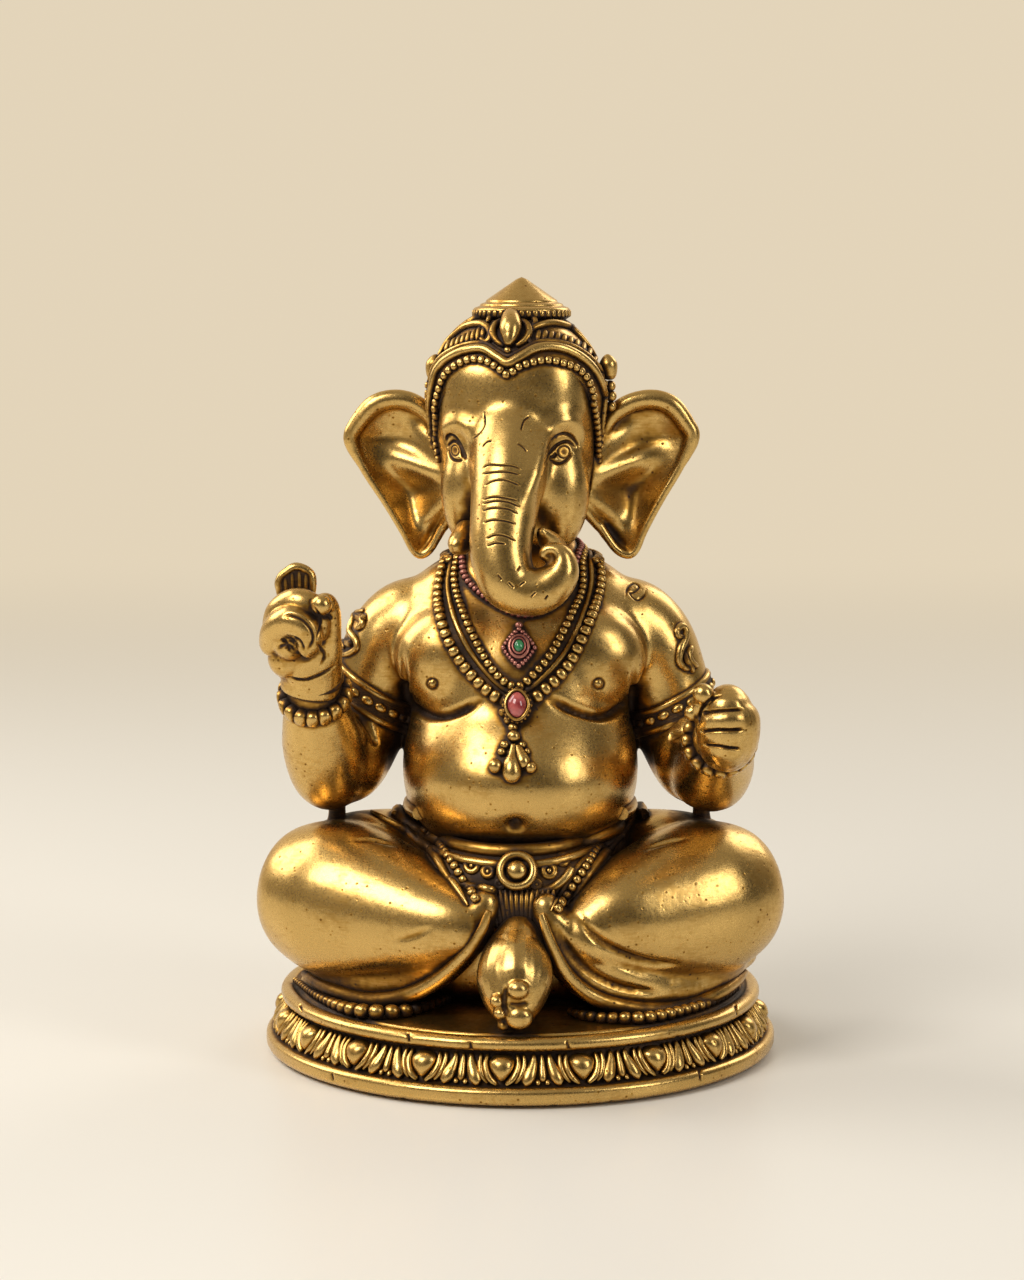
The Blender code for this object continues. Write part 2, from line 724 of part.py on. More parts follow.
def build_waist(frame, finish, body):
    brass = finish["brass"]
    torso, hips = body["torso"], body["hips"]
    legs = (body["right_leg"], body["left_leg"])
    half = [(*p, BELT_RADIUS) for p in curve_through(BELT_LOOP, 11)]
    loop = half + [(-x, y, z, r) for x, y, z, r in reversed(half[1:-1])]
    belt = add_object("belt", tube(
        [tuple(SCALE * v for v in p) for p in loop], STRAND_SIDES, closed=True), frame, brass)
    seat(belt, torso, hips)
    buckle_place = SCALE * Vector(BUCKLE_PLACE)
    out = Vector((0, -1, 0))
    ring = add_object("buckle_ring", rod(
        SCALE * BUCKLE_RADIUS, buckle_place, buckle_place + out * SCALE * BUCKLE_DEPTH, 20), frame, brass)
    boss_foot = buckle_place + out * SCALE * BUCKLE_BOSS_FOOT
    boss_top = buckle_place + out * SCALE * BUCKLE_BOSS_TOP
    boss = add_object("buckle_boss", rod(SCALE * BUCKLE_BOSS_RADIUS, boss_foot, boss_top, 16), frame, brass)
    seat(boss, belt, torso)
    seat(ring, belt, torso, hips, boss)
    apron = add_object("waist_apron", limb(APRON_PATH, 8, 12), frame, brass)
    seat(apron, torso, hips, belt, ring, body["foot"], *legs)
    made = {"belt": belt, "buckle_ring": ring, "buckle_boss": boss, "waist_apron": apron}
    for side, name in ((RIGHT, "right"), (LEFT, "left")):
        sash = add_object(f"{name}_sash", limb(SASH_PATH, 9, STRAND_SIDES, side), frame, brass)
        seat(sash, torso, hips, belt, ring, *legs, body["foot"], apron, body[f"{name}_leg_hem"])
        made[sash.name] = sash
    return made


def fist_of(name, palm_path, thumb_path, finger, frame, finish):
    """A closed fist: the palm, the thumb and a stack of curled fingers. Gives all its shapes."""
    fist = add_object(name, limb(palm_path, 8, 12), frame, finish)
    shapes = [add_object(f"{name}_thumb", limb(thumb_path, 6, SMALL_SIDES), frame, finish)]
    for k in range(FINGER_COUNT):
        rise = k * FINGER_PITCH
        row = [(x, y - rise * FINGER_LEAN, z + rise, radius) for x, y, z, radius in finger]
        shapes.append(add_object(f"{name}_finger_{k}", limb(row, 5, SMALL_SIDES), frame, finish))
    fuse(fist, *shapes)
    return [fist] + shapes


def ring_round(path, at, radius, section, rings):
    """A ring that goes round a limb: at is the place along its path, from 0 to 1."""
    stations = curve_through(path, 101)
    k = round(at * 100)
    here = Vector(stations[k][:3])
    along = (Vector(stations[min(100, k + 2)][:3]) - Vector(stations[k - 2][:3])).normalized()
    across = along.orthogonal().normalized()
    up = along.cross(across)
    size = radius + stations[k][3]
    loop = []
    for i in range(rings):
        turn = 2 * math.pi * i / rings
        spot = here + size * (math.cos(turn) * across + math.sin(turn) * up)
        loop.append(tuple(SCALE * v for v in (*spot, section)))
    return tube(loop, STRAND_SIDES, closed=True)


def mirrored(path, side):
    return [(side * x, *rest) for x, *rest in path]


def build_arms(frame, finish, body):
    brass = finish["brass"]
    torso = body["torso"]
    made = {}
    forearms = {"right": RAISED_FOREARM_PATH, "left": LEVEL_FOREARM_PATH}
    fists = {
        "right": (RAISED_FIST_PATH, RAISED_THUMB_PATH, RAISED_FINGER),
        "left": (LEVEL_FIST_PATH, LEVEL_THUMB_PATH, LEVEL_FINGER),
    }
    for side, name in ((RIGHT, "right"), (LEFT, "left")):
        arm_path = mirrored(UPPER_ARM_PATH, side)
        arm = add_object(f"{name}_upper_arm", limb(arm_path, 11, LIMB_SIDES), frame, brass)
        shoulder = SCALE * Vector(arm_path[2][:3])
        spigot_reach = Vector((side * (SPIGOT_LENGTH + SCALE * SPIGOT_IN_ARM), 0, 0))
        spigot = add_object(
            f"{name}_arm_spigot", rod(SPIGOT_RADIUS, shoulder, shoulder - spigot_reach), frame, brass)
        seat(torso, spigot)
        seat(arm, torso)
        fuse(arm, spigot)
        forearm = add_object(f"{name}_forearm", limb(forearms[name], 10, LIMB_SIDES), frame, brass)
        seat(forearm, arm, torso, body[f"{name}_leg"])
        hand = fist_of(f"{name}_hand", *fists[name], frame, brass)
        seat(hand[0], forearm, arm)
        armlet = add_object(
            f"{name}_armlet", ring_round(arm_path, ARMLET_AT, ARMLET_LIFT, ARMLET_RADIUS, 16), frame, brass)
        seat(armlet, arm, torso, forearm, *hand)
        crest_place = curve_through(arm_path, 101)[round(CREST_AT * 100)]
        out = Vector((side, *CREST_LEAN)).normalized()
        crest_foot = SCALE * (Vector(crest_place[:3]) + out * (crest_place[3] - CREST_SUNK))
        crest = add_object(f"{name}_armlet_crest", tube([
            (*crest_foot, SCALE * CREST_RADIUS),
            (*(crest_foot + out * SCALE * CREST_SHOULDER_RISE), SCALE * CREST_SHOULDER_RADIUS),
            (*(crest_foot + out * SCALE * CREST_RISE), SCALE * CREST_TOP_RADIUS),
        ], 12), frame, brass)
        seat(crest, arm, armlet)
        bracelet = add_object(
            f"{name}_bracelet",
            ring_round(forearms[name], BRACELET_AT, BRACELET_LIFT, BRACELET_RADIUS, 16), frame, brass)
        seat(bracelet, forearm, *hand, arm)
        elbow = SCALE * Vector(forearms[name][0][:3])
        pin_top = elbow + Vector((0, 0, SCALE * ELBOW_PIN_RISE))
        pin_foot = elbow - Vector((0, 0, SCALE * ELBOW_PIN_DROP))
        pin = add_object(f"{name}_elbow_pin", rod(ELBOW_PIN_RADIUS, pin_top, pin_foot), frame, brass)
        seat(pin, forearm, arm, body[f"{name}_leg"])
        for piece in (arm, forearm, hand[0], armlet, crest, bracelet, pin):
            made[piece.name] = piece
        if side == RIGHT:
            holding_hand = hand
    lotus = add_object("lotus_bud", limb(LOTUS_PATH, 8, 12, flat=0.7), frame, brass)
    seat(lotus, *holding_hand)
    made["lotus_bud"] = lotus
    return made


def ear_of(side):
    """A dished sheet between the root by the cheek and the outer rim, with an even wall."""
    across, down = 7, 11
    lines = [curve_through(line, down) for line in (EAR_ROOT, EAR_MIDDLE, EAR_RIM)]
    rows = [curve_through([line[i] for line in lines], across) for i in range(down)]
    front = [[SCALE * Vector((side * x, y, z)) for x, y, z in row] for row in rows]
    wall = Vector((0.0, EAR_THICKNESS, 0.0))
    rings = [row + [point + wall for point in reversed(row)] for row in front]
    return skin(rings)


def build_head(frame, finish, body):
    brass = finish["brass"]
    torso = body["torso"]
    head = add_object("head", level_body(HEAD_SECTIONS, 13, HEAD_MIDDLE_X), frame, brass)
    trunk = add_object("head_trunk", limb(TRUNK_PATH, 24, 10), frame, brass)
    dowel_foot = SCALE * Vector((HEAD_MIDDLE_X, *NECK_DOWEL_FOOT))
    dowel_top = dowel_foot + Vector((0, 0, NECK_DOWEL_LENGTH))
    dowel = add_object(
        "neck_dowel", rod(NECK_DOWEL_RADIUS, dowel_foot, dowel_top), frame, finish["steel"])
    seat(torso, dowel)
    cheeks = [
        add_object("head_right_cheek", ball(*RIGHT_CHEEK), frame, brass),
        add_object("head_left_cheek", ball(*LEFT_CHEEK), frame, brass),
    ]
    fuse(head, trunk, *cheeks)
    seat(head, torso, dowel)
    made = {"head": head, "neck_dowel": dowel}
    cap_sections = [
        (z, half + CROWN_WALL, front + CROWN_WALL, back + CROWN_WALL, middle)
        for z, half, front, back, middle in HEAD_SECTIONS if z > CROWN_FOOT - 1.0
    ]
    cap = add_object("crown_cap", level_body(cap_sections, 8, HEAD_MIDDLE_X), frame, brass)
    face = add_object("face_opening", half_space(), frame, brass)
    seat(cap, head, trunk)
    add_boolean(cap, "DIFFERENCE", helper(face))
    made["crown_cap"] = cap
    band = add_object("crown_band", tube([
        tuple(SCALE * v for v in (*p, CROWN_BAND_RADIUS)) for p in curve_through(CROWN_BAND_PATH, 25)
    ], STRAND_SIDES), frame, brass)
    seat(band, head, trunk, cap, *cheeks)
    made["crown_band"] = band
    finial = add_object("crown_finial", turned(
        [(SCALE * r, SCALE * z) for r, z in FINIAL_PROFILE], 20,
        tuple(SCALE * v for v in FINIAL_MIDDLE)), frame, brass)
    seat(finial, cap, head)
    made["crown_finial"] = finial
    jewel = add_object("crown_jewel", limb(JEWEL_PATH, 8, 10), frame, brass)
    seat(jewel, cap, band, finial, head)
    made["crown_jewel"] = jewel
    tusks = {"right": RIGHT_TUSK_PATH, "left": LEFT_TUSK_PATH}
    for side, name in ((RIGHT, "right"), (LEFT, "left")):
        ear = add_object(f"{name}_ear", ear_of(side), frame, brass)
        seat(ear, head, cap, band, torso)
        rosette = add_object(f"{name}_crown_rosette", limb(ROSETTE_PATH, 7, 10, side), frame, brass)
        seat(rosette, cap, band, ear, head)
        tusk = add_object(f"{name}_tusk", limb(tusks[name], 8, 10), frame, brass)
        seat(tusk, head, trunk, *cheeks)
        for piece in (ear, rosette, tusk):
            made[piece.name] = piece
    return made


def half_space():
    """A block in front of the slanting plane that frames the face."""
    size = 60.0 * SCALE
    bm = bmesh.new()
    bmesh.ops.create_cube(bm, size=2 * size)
    normal = Vector(CROWN_PLANE_NORMAL).normalized()
    turn = Vector((0, 0, 1)).rotation_difference(normal).to_matrix().to_4x4()
    middle = SCALE * Vector(CROWN_PLANE_POINT) + normal * size
    bmesh.ops.transform(bm, matrix=Matrix.Translation(middle) @ turn, verts=bm.verts)
    return bm


def necklace(tree, front, sag, radius):
    """A closed strand: down over one shoulder, across the chest and round behind the neck."""
    lift = radius * 0.45 + GAP
    half = curve_through(front, 10)
    right = [laid_on(tree, SCALE * x, SCALE * z, lift) for x, z in half]
    left = [laid_on(tree, SCALE * (2 * front[0][0] - x), SCALE * z, lift) for x, z in half[1:]]
    width, top = front[-1]
    behind = [
        laid_on(tree, SCALE * width * math.cos(turn), SCALE * (top - sag * math.sin(turn)), lift, back=True)
        for turn in (math.pi * k / 8 for k in range(1, 8))
    ]
    near = over_shoulder(tree, right[-1], behind[0], lift)
    far = over_shoulder(tree, behind[-1], left[-1], lift)
    loop = list(reversed(left)) + right + near + behind + far
    return tube([(*p, radius) for p in loop], STRAND_SIDES, closed=True)


def boss_on(tree, x, z, radius, height, sides=16):
    """A shallow domed mount that stands on the body's front."""
    place = laid_on(tree, SCALE * x, SCALE * z, 0.0)
    out = (laid_on(tree, SCALE * x, SCALE * z, 1.0) - place).normalized()
    return tube([
        (*(place - out * 1.5), SCALE * radius),
        (*(place + out * SCALE * height * 0.6), SCALE * radius),
        (*(place + out * SCALE * height), SCALE * radius * 0.7),
    ], sides), place, out


def build_jewellery(frame, finish, body, arms, head):
    brass = finish["brass"]
    torso, skull = body["torso"], head["head"]
    around = (head["right_ear"], head["left_ear"], arms["right_upper_arm"], arms["left_upper_arm"])
    trunk = bpy.data.objects["head_trunk"]
    tree = surface(torso)
    strands = []
    for name, front, sag, radius in (
        ("outer_bead_strand", OUTER_STRAND, OUTER_SAG, STRAND_RADIUS),
        ("smooth_strand", CORD_STRAND, CORD_SAG, CORD_RADIUS),
        ("inner_bead_strand", INNER_STRAND, INNER_SAG, STRAND_RADIUS),
    ):
        strand = add_object(name, necklace(tree, front, sag, SCALE * radius), frame, brass)
        seat(strand, torso, skull, *around, *strands)
        strands.append(strand)
    choker = add_object("choker", necklace(
        tree, CHOKER_STRAND, CHOKER_SAG, SCALE * CHOKER_RADIUS), frame, finish["copper"])
    seat(choker, torso, skull, trunk, *strands)
    pendant_mesh, place, out = boss_on(tree, *PENDANT, PENDANT_HEIGHT)
    pendant = add_object("pendant_setting", pendant_mesh, frame, brass)
    stone = add_object(
        "pendant_stone", stone_on(place, out, PENDANT_HEIGHT, PENDANT[2]), frame, finish["red"])
    seat(stone, *strands)
    seat(pendant, torso, *strands, stone)
    drops = add_object("pendant_drops", drop_on(tree), frame, brass)
    seat(drops, torso, pendant)
    brooch_mesh, place, out = boss_on(tree, *BROOCH, BROOCH_HEIGHT)
    brooch = add_object("brooch_setting", brooch_mesh, frame, finish["copper"])
    green = add_object(
        "brooch_stone", stone_on(place, out, BROOCH_HEIGHT, BROOCH[2]), frame, finish["green"])
    seat(green, *strands)
    seat(brooch, torso, *strands, green)


def stone_on(place, out, height, radius):
    """A domed stone let into the middle of its mount."""
    size = SCALE * radius * STONE_SHARE
    return tube([
        (*(place + out * SCALE * height * 0.5), size),
        (*(place + out * SCALE * (height + STONE_WALL_RISE)), size),
        (*(place + out * SCALE * (height + STONE_DOME_RISE)), size * 0.6),
    ], 14)


def drop_on(tree):
    """The hanging drop under the pendant, laid on the belly."""
    rows = 8
    stations = []
    for i in range(rows):
        t = i / (rows - 1)
        z = PENDANT_DROP_TOP + (PENDANT_DROP_FOOT - PENDANT_DROP_TOP) * t
        radius = 1.1 + 1.9 * math.sin(math.pi * min(1.0, 0.15 + 0.75 * t)) * t
        spot = laid_on(tree, SCALE * PENDANT[0], SCALE * z, SCALE * radius * 0.4)
        stations.append((*spot, SCALE * radius))
    return tube(stations, SMALL_SIDES)


def main():
    clear_scene()
    finish = {
        "brass": make_material("antique_brass", (0.55, 0.38, 0.13), 0.32, 1.0),
        "copper": make_material("red_enamel", (0.36, 0.09, 0.07), 0.35, 0.6),
        "red": make_material("red_stone", (0.55, 0.08, 0.09), 0.15, 0.0),
        "green": make_material("green_stone", (0.16, 0.34, 0.14), 0.15, 0.0),
        "steel": make_material("steel", (0.55, 0.55, 0.56), 0.35, 1.0),
        "felt": make_material("felt", (0.05, 0.09, 0.05), 0.95, 0.0),
    }
    plinth = make_empty("plinth_frame", 0.0)
    figure = make_empty("figure_frame", BASE_HEIGHT)
    bpy.context.view_layer.update()
    base = build_plinth(plinth, finish)
    body = build_body(figure, finish, base)
    build_waist(figure, finish, body)
    arms = build_arms(figure, finish, body)
    head = build_head(figure, finish, body)
    build_jewellery(figure, finish, body, arms, head)


main()
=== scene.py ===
import json
import math

import bpy
import numpy as np
from mathutils import Matrix, Vector
from mathutils.bvhtree import BVHTree

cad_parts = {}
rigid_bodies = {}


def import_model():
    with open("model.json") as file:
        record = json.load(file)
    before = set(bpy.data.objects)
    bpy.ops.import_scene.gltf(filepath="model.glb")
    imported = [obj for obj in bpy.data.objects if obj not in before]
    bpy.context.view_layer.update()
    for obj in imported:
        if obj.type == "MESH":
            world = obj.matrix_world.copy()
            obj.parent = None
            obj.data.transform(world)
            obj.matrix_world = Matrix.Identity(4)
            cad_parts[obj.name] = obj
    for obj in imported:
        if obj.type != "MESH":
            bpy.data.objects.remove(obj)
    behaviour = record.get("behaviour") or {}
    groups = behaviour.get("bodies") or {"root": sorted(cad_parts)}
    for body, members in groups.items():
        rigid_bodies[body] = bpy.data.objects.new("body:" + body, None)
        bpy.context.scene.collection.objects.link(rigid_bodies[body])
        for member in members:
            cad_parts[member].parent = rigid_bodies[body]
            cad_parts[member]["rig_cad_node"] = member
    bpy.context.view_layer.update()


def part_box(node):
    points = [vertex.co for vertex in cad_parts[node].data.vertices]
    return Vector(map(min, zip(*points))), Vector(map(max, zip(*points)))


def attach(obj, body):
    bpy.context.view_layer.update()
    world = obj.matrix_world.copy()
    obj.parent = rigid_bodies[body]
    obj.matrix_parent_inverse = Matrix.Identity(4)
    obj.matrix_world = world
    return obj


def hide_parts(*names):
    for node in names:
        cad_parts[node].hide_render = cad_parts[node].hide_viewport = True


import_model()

# Shapes are drawn in millimetres from the middle of the plinth's top and lifted by SEAT when done.
MM = 0.001
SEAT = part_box("top_plate")[1][2] / MM
BASE_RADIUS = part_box("base_plinth")[1][0] / MM
PLATE_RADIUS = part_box("top_plate")[1][0] / MM
PLATE_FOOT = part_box("top_plate")[0][2] / MM - SEAT
RIM_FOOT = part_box("base_plinth")[0][2] / MM - SEAT
FELT_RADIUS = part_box("felt_pad")[1][0] / MM
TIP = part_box("crown_finial")[1][2] / MM - SEAT

# The photograph's camera, in the same millimetres
LENS = 85.0
SENSOR = 36.0
PHOTO_WIDTH = 1024
PHOTO_HEIGHT = 1280
FOCAL = LENS / SENSOR * PHOTO_HEIGHT
EYE = Vector((0.0, -583.58, 151.83 - SEAT))
EYE_TILT = 0.1227
EYE_TURN = 0.0028
EYE_AXES = Matrix.Rotation(EYE_TURN, 3, "Z") @ Matrix.Rotation(math.pi / 2 - EYE_TILT, 3, "X")


# Small tools

def take(obj):
    bpy.ops.object.select_all(action="DESELECT")
    obj.select_set(True)
    bpy.context.view_layer.objects.active = obj
    return obj


def apply_modifier(obj, kind, **settings):
    take(obj)
    modifier = obj.modifiers.new(kind.title(), kind)
    for key, value in settings.items():
        setattr(modifier, key, value)
    bpy.ops.object.modifier_apply(modifier=modifier.name)
    return obj


def join(name, parts):
    bpy.ops.object.select_all(action="DESELECT")
    for part in parts:
        part.select_set(True)
    bpy.context.view_layer.objects.active = parts[0]
    bpy.ops.object.join()
    parts[0].name = name
    return parts[0]


def face_outwards(obj):
    take(obj)
    bpy.ops.object.mode_set(mode="EDIT")
    bpy.ops.mesh.select_all(action="SELECT")
    bpy.ops.mesh.normals_make_consistent(inside=False)
    bpy.ops.object.mode_set(mode="OBJECT")
    return obj


def get_points(obj):
    points = np.empty(len(obj.data.vertices) * 3)
    obj.data.vertices.foreach_get("co", points)
    return points.reshape(-1, 3)


def set_points(obj, points):
    obj.data.vertices.foreach_set("co", np.ascontiguousarray(points, dtype=np.float64).ravel())
    obj.data.update()


def get_normals(obj):
    normals = np.empty(len(obj.data.vertices) * 3, dtype=np.float32)
    obj.data.vertex_normals.foreach_get("vector", normals)
    return normals.reshape(-1, 3).astype(float)


def tree_of(*objs):
    points, faces = [], []
    for obj in objs:
        start = len(points)
        points += [v.co[:] for v in obj.data.vertices]
        faces += [tuple(start + i for i in p.vertices) for p in obj.data.polygons]
    return BVHTree.FromPolygons(points, faces)


def in_fixed_order(obj):
    """Numbers a mesh by its places, since a cut doesn't number it the same way each run."""
    points = get_points(obj)
    order = np.lexsort(np.round(points, 5).T)
    rank = np.argsort(order)
    faces = []
    for polygon in obj.data.polygons:
        corners = [int(rank[i]) for i in polygon.vertices]
        # How the cut's many-cornered fill splits depends on the corner that it starts from.
        first = corners.index(min(corners)) if len(corners) > 4 else 0
        faces.append(corners[first:] + corners[:first])
    obj.data.clear_geometry()
    obj.data.from_pydata(points[order].tolist(), [], sorted(faces, key=sorted), shade_flat=False)
    obj.data.update()


def spline(rows, at):
    """A smooth curve through the rows, read at places from 0 to 1."""
    rows = np.asarray(rows, float)
    last = len(rows) - 1
    spot = np.clip(np.asarray(at, float), 0, 1) * last
    k = np.minimum(spot.astype(int), last - 1)
    t = (spot - k)[:, None]
    p0, p1, p2, p3 = (rows[np.clip(k + d, 0, last)] for d in (-1, 0, 1, 2))
    return 0.5 * (2 * p1 + (p2 - p0) * t + (2 * p0 - 5 * p1 + 4 * p2 - p3) * t**2
                  + (3 * p1 - p0 - 3 * p2 + p3) * t**3)


def even_path(points, step):
    """Points a step apart along a smooth curve through the given points."""
    fine = spline(points, np.linspace(0, 1, 400))
    run = np.concatenate([[0], np.cumsum(np.linalg.norm(np.diff(fine[:, :3], axis=0), axis=1))])
    count = max(2, round(run[-1] / step) + 1)
    want = np.linspace(0, run[-1], count)
    return np.stack([np.interp(want, run, fine[:, i]) for i in range(fine.shape[1])], axis=1)


# Looking through the photograph's camera

def sight(px, py):
    ray = Vector(((px - PHOTO_WIDTH / 2) / FOCAL, (PHOTO_HEIGHT / 2 - py) / FOCAL, -1.0))
    return (EYE_AXES @ ray).normalized()


def at_depth(px, py, y):
    ray = sight(px, py)
    return EYE + ray * ((y - EYE.y) / ray.y)


def at_height(px, py, z):
    ray = sight(px, py)
    return EYE + ray * ((z - EYE.z) / ray.z)


def seen_on(tree, px, py, lift=0.0, depth=-5.0):
    """The point that the camera sees on a surface, or the nearest one beside its outline."""
    hit, normal, _, _ = tree.ray_cast(EYE, sight(px, py))
    if hit is None:
        hit, normal, _, _ = tree.find_nearest(at_depth(px, py, depth))
    return hit + normal * lift


def line_on(tree, pixels, lift=0.0, step=0.5, depth=-5.0):
    fine = spline(pixels, np.linspace(0, 1, 8 * len(pixels)))
    return even_path([seen_on(tree, x, y, lift, depth)[:] for x, y in fine], step)


# Block-outs from primitives

def shaped_ball(shape, segments=48, rings=40):
    """A sphere whose rings and meridians are moved by a function of height share and turn."""
    bpy.ops.object.select_all(action="DESELECT")
    bpy.ops.mesh.primitive_uv_sphere_add(segments=segments, ring_count=rings, radius=1.0)
    obj = bpy.context.active_object
    points = get_points(obj)
    share = 1 - np.arccos(np.clip(points[:, 2], -1, 1)) / math.pi
    turn = np.arctan2(points[:, 1], points[:, 0])
    set_points(obj, shape(share, turn))
    return face_outwards(obj)


def rounding(share, end):
    """How a section shrinks towards a rounded end: 1 along the piece and 0 at its two tips."""
    inside = np.clip((np.abs(2 * share - 1) - (1 - end)) / end, 0, 1)
    return np.sqrt(1 - inside**2)


def level_body(sections, segments=64, rings=56, power=2.0, turn_by=0.0, middle_x=0.0, end=0.06):
    """A body of level rings: height, half width, reach forward, reach back and middle in Y."""
    def shape(share, turn):
        z, half, front, back, middle = spline(sections, share).T
        shrink = rounding(share, end)
        c, s = np.cos(turn), np.sin(turn)
        reach = np.where(s > 0, back, front)
        x = half * shrink * np.sign(c) * np.abs(c) ** (2 / power)
        y = reach * shrink * np.sign(s) * np.abs(s) ** (2 / power)
        cos, sin = math.cos(turn_by), math.sin(turn_by)
        return np.stack([middle_x + x * cos - y * sin, middle + x * sin + y * cos, z], axis=1)
    return shaped_ball(shape, segments, rings)


def limb(stations, across=(0, 0, 1), flat=1.0, segments=24, rings=48, end=0.12):
    """A limb along a path of x, y, z and radius. Flat widens it along the across direction."""
    across = np.asarray(across, float)

    def shape(share, turn):
        place = spline(stations, share)
        along = spline(stations, share + 0.004)[:, :3] - spline(stations, share - 0.004)[:, :3]
        along /= np.linalg.norm(along, axis=1)[:, None]
        side = np.cross(along, across)
        side /= np.linalg.norm(side, axis=1)[:, None]
        up = np.cross(side, along)
        size = place[:, 3] * rounding(share, end)
        return (place[:, :3] + side * (size * np.cos(turn))[:, None]
                + up * (size * flat * np.sin(turn))[:, None])
    return shaped_ball(shape, segments, rings)


def ball(place, radii, turn=(0, 0, 0), segments=24, rings=16):
    bpy.ops.object.select_all(action="DESELECT")
    bpy.ops.mesh.primitive_uv_sphere_add(
        segments=segments, ring_count=rings, radius=1.0, location=place, rotation=turn, scale=radii)
    bpy.ops.object.transform_apply(location=True, rotation=True, scale=True)
    return bpy.context.active_object


def bead(place, radius):
    return ball(place, (radius, radius, radius))


def mirror(stations):
    return [(-row[0], *row[1:]) for row in stations]


def cast(name, parts, voxel, passes):
    """Joins block-outs into one skin and softens where they meet."""
    obj = join(name, parts)
    apply_modifier(obj, "REMESH", mode="VOXEL", voxel_size=voxel)
    apply_modifier(obj, "SMOOTH", factor=0.5, iterations=passes)
    return face_outwards(obj)


def tube(name, path, radius, sides=10, closed=False):
    """A round moulding along a path, with one radius or one for each point."""
    curve = bpy.data.curves.new(name, "CURVE")
    curve.dimensions = "3D"
    curve.bevel_depth = 1.0
    curve.bevel_resolution = max(1, sides // 4)
    curve.use_fill_caps = not closed
    run = curve.splines.new("POLY")
    run.points.add(len(path) - 1)
    radii = np.broadcast_to(radius, len(path))
    for point, place, size in zip(run.points, path, radii):
        point.co = (*place[:3], 1.0)
        point.radius = size
    run.use_cyclic_u = closed
    obj = bpy.data.objects.new(name, curve)
    bpy.context.scene.collection.objects.link(obj)
    take(obj)
    bpy.ops.object.convert(target="MESH")
    obj = bpy.context.active_object
    bpy.ops.object.mode_set(mode="EDIT")
    bpy.ops.mesh.select_all(action="SELECT")
    bpy.ops.mesh.remove_doubles(threshold=1e-4)
    bpy.ops.mesh.normals_make_consistent(inside=False)
    bpy.ops.object.mode_set(mode="OBJECT")
    return obj


def tapered(count, radius, tip=0.25):
    """Radii that shrink towards both ends."""
    share = np.linspace(0, 1, count)
    return radius * (tip + (1 - tip) * np.sin(math.pi * share) ** 0.6)


def turned(name, profile, steps=192):
    """A turned piece: a profile of radius and height, spun round the upright axis."""
    bpy.ops.object.select_all(action="DESELECT")
    bpy.ops.mesh.primitive_plane_add(size=1.0)
    obj = bpy.context.active_object
    obj.name = name
    obj.data.clear_geometry()
    obj.data.from_pydata(
        [(r, 0.0, z) for r, z in profile], [(i, i + 1) for i in range(len(profile) - 1)], [])
    bpy.ops.object.mode_set(mode="EDIT")
    bpy.ops.mesh.select_all(action="SELECT")
    bpy.ops.mesh.spin(steps=steps, angle=2 * math.pi, center=(0, 0, 0), axis=(0, 0, 1))
    bpy.ops.mesh.select_all(action="SELECT")
    bpy.ops.mesh.remove_doubles(threshold=1e-4)
    bpy.ops.mesh.normals_make_consistent(inside=False)
    bpy.ops.object.mode_set(mode="OBJECT")
    return obj


def rounded(corners, radius, steps=4):
    """A profile whose inner corners are rounded by short arcs."""
    made = [corners[0]]
    for before, corner, after in zip(corners, corners[1:], corners[2:]):
        before, corner, after = (np.array(p, float) for p in (before, corner, after))
        reach = min(radius, 0.45 * np.linalg.norm(before - corner), 0.45 * np.linalg.norm(after - corner))
        start = corner + reach * (before - corner) / np.linalg.norm(before - corner)
        end = corner + reach * (after - corner) / np.linalg.norm(after - corner)
        for t in np.linspace(0, 1, steps):
            made.append(tuple((1 - t) ** 2 * start + 2 * t * (1 - t) * corner + t**2 * end))
    made.append(corners[-1])
    return made


def stamp(name, pattern, frames):
    """Copies one small shape to many places. A frame is a place and three scaled axes."""
    points = get_points(pattern)
    faces = [tuple(p.vertices) for p in pattern.data.polygons]
    all_points, all_faces = [], []
    for place, axes in frames:
        start = len(all_points) * len(points)
        all_points.append(points @ np.asarray(axes, float) + np.asarray(place, float))
        all_faces += [tuple(start + i for i in face) for face in faces]
    mesh = bpy.data.meshes.new(name)
    mesh.from_pydata(np.concatenate(all_points).tolist(), [], all_faces)
    obj = bpy.data.objects.new(name, mesh)
    bpy.context.scene.collection.objects.link(obj)
    bpy.data.objects.remove(pattern)
    return face_outwards(obj)


def bead_pattern(squareness=2.0):
    """A bead of few faces, from round to a rounded block."""
    bpy.ops.object.select_all(action="DESELECT")
    bpy.ops.mesh.primitive_uv_sphere_add(segments=12, ring_count=8, radius=1.0)
    obj = bpy.context.active_object
    points = get_points(obj)
    norm = (np.abs(points) ** squareness).sum(axis=1) ** (1 / squareness)
    set_points(obj, points / norm[:, None])
    return obj


def bead_frames(tree, path, sizes, length=1.0, height=1.0, sink=0.25):
    """Where beads sit along a path on a surface: along it, across it and out of it."""
    frames = []
    for i, place in enumerate(path):
        ahead = path[min(i + 1, len(path) - 1)]
        behind = path[max(i - 1, 0)]
        along = Vector(ahead[:3]) - Vector(behind[:3])
        near, normal, _, _ = tree.find_nearest(Vector(place[:3]))
        along = (along - normal * along.dot(normal)).normalized()
        across = normal.cross(along)
        size = sizes[i] if np.ndim(sizes) else sizes
        centre = near + normal * size * height * (1 - 2 * sink)
        frames.append((centre, [along * size * length, across * size, normal * size * height]))
    return frames


def beads(name, tree, path, sizes, squareness=2.4, length=0.95, height=0.9):
    return stamp(name, bead_pattern(squareness), bead_frames(tree, path, sizes, length, height))


# Carving into a skin

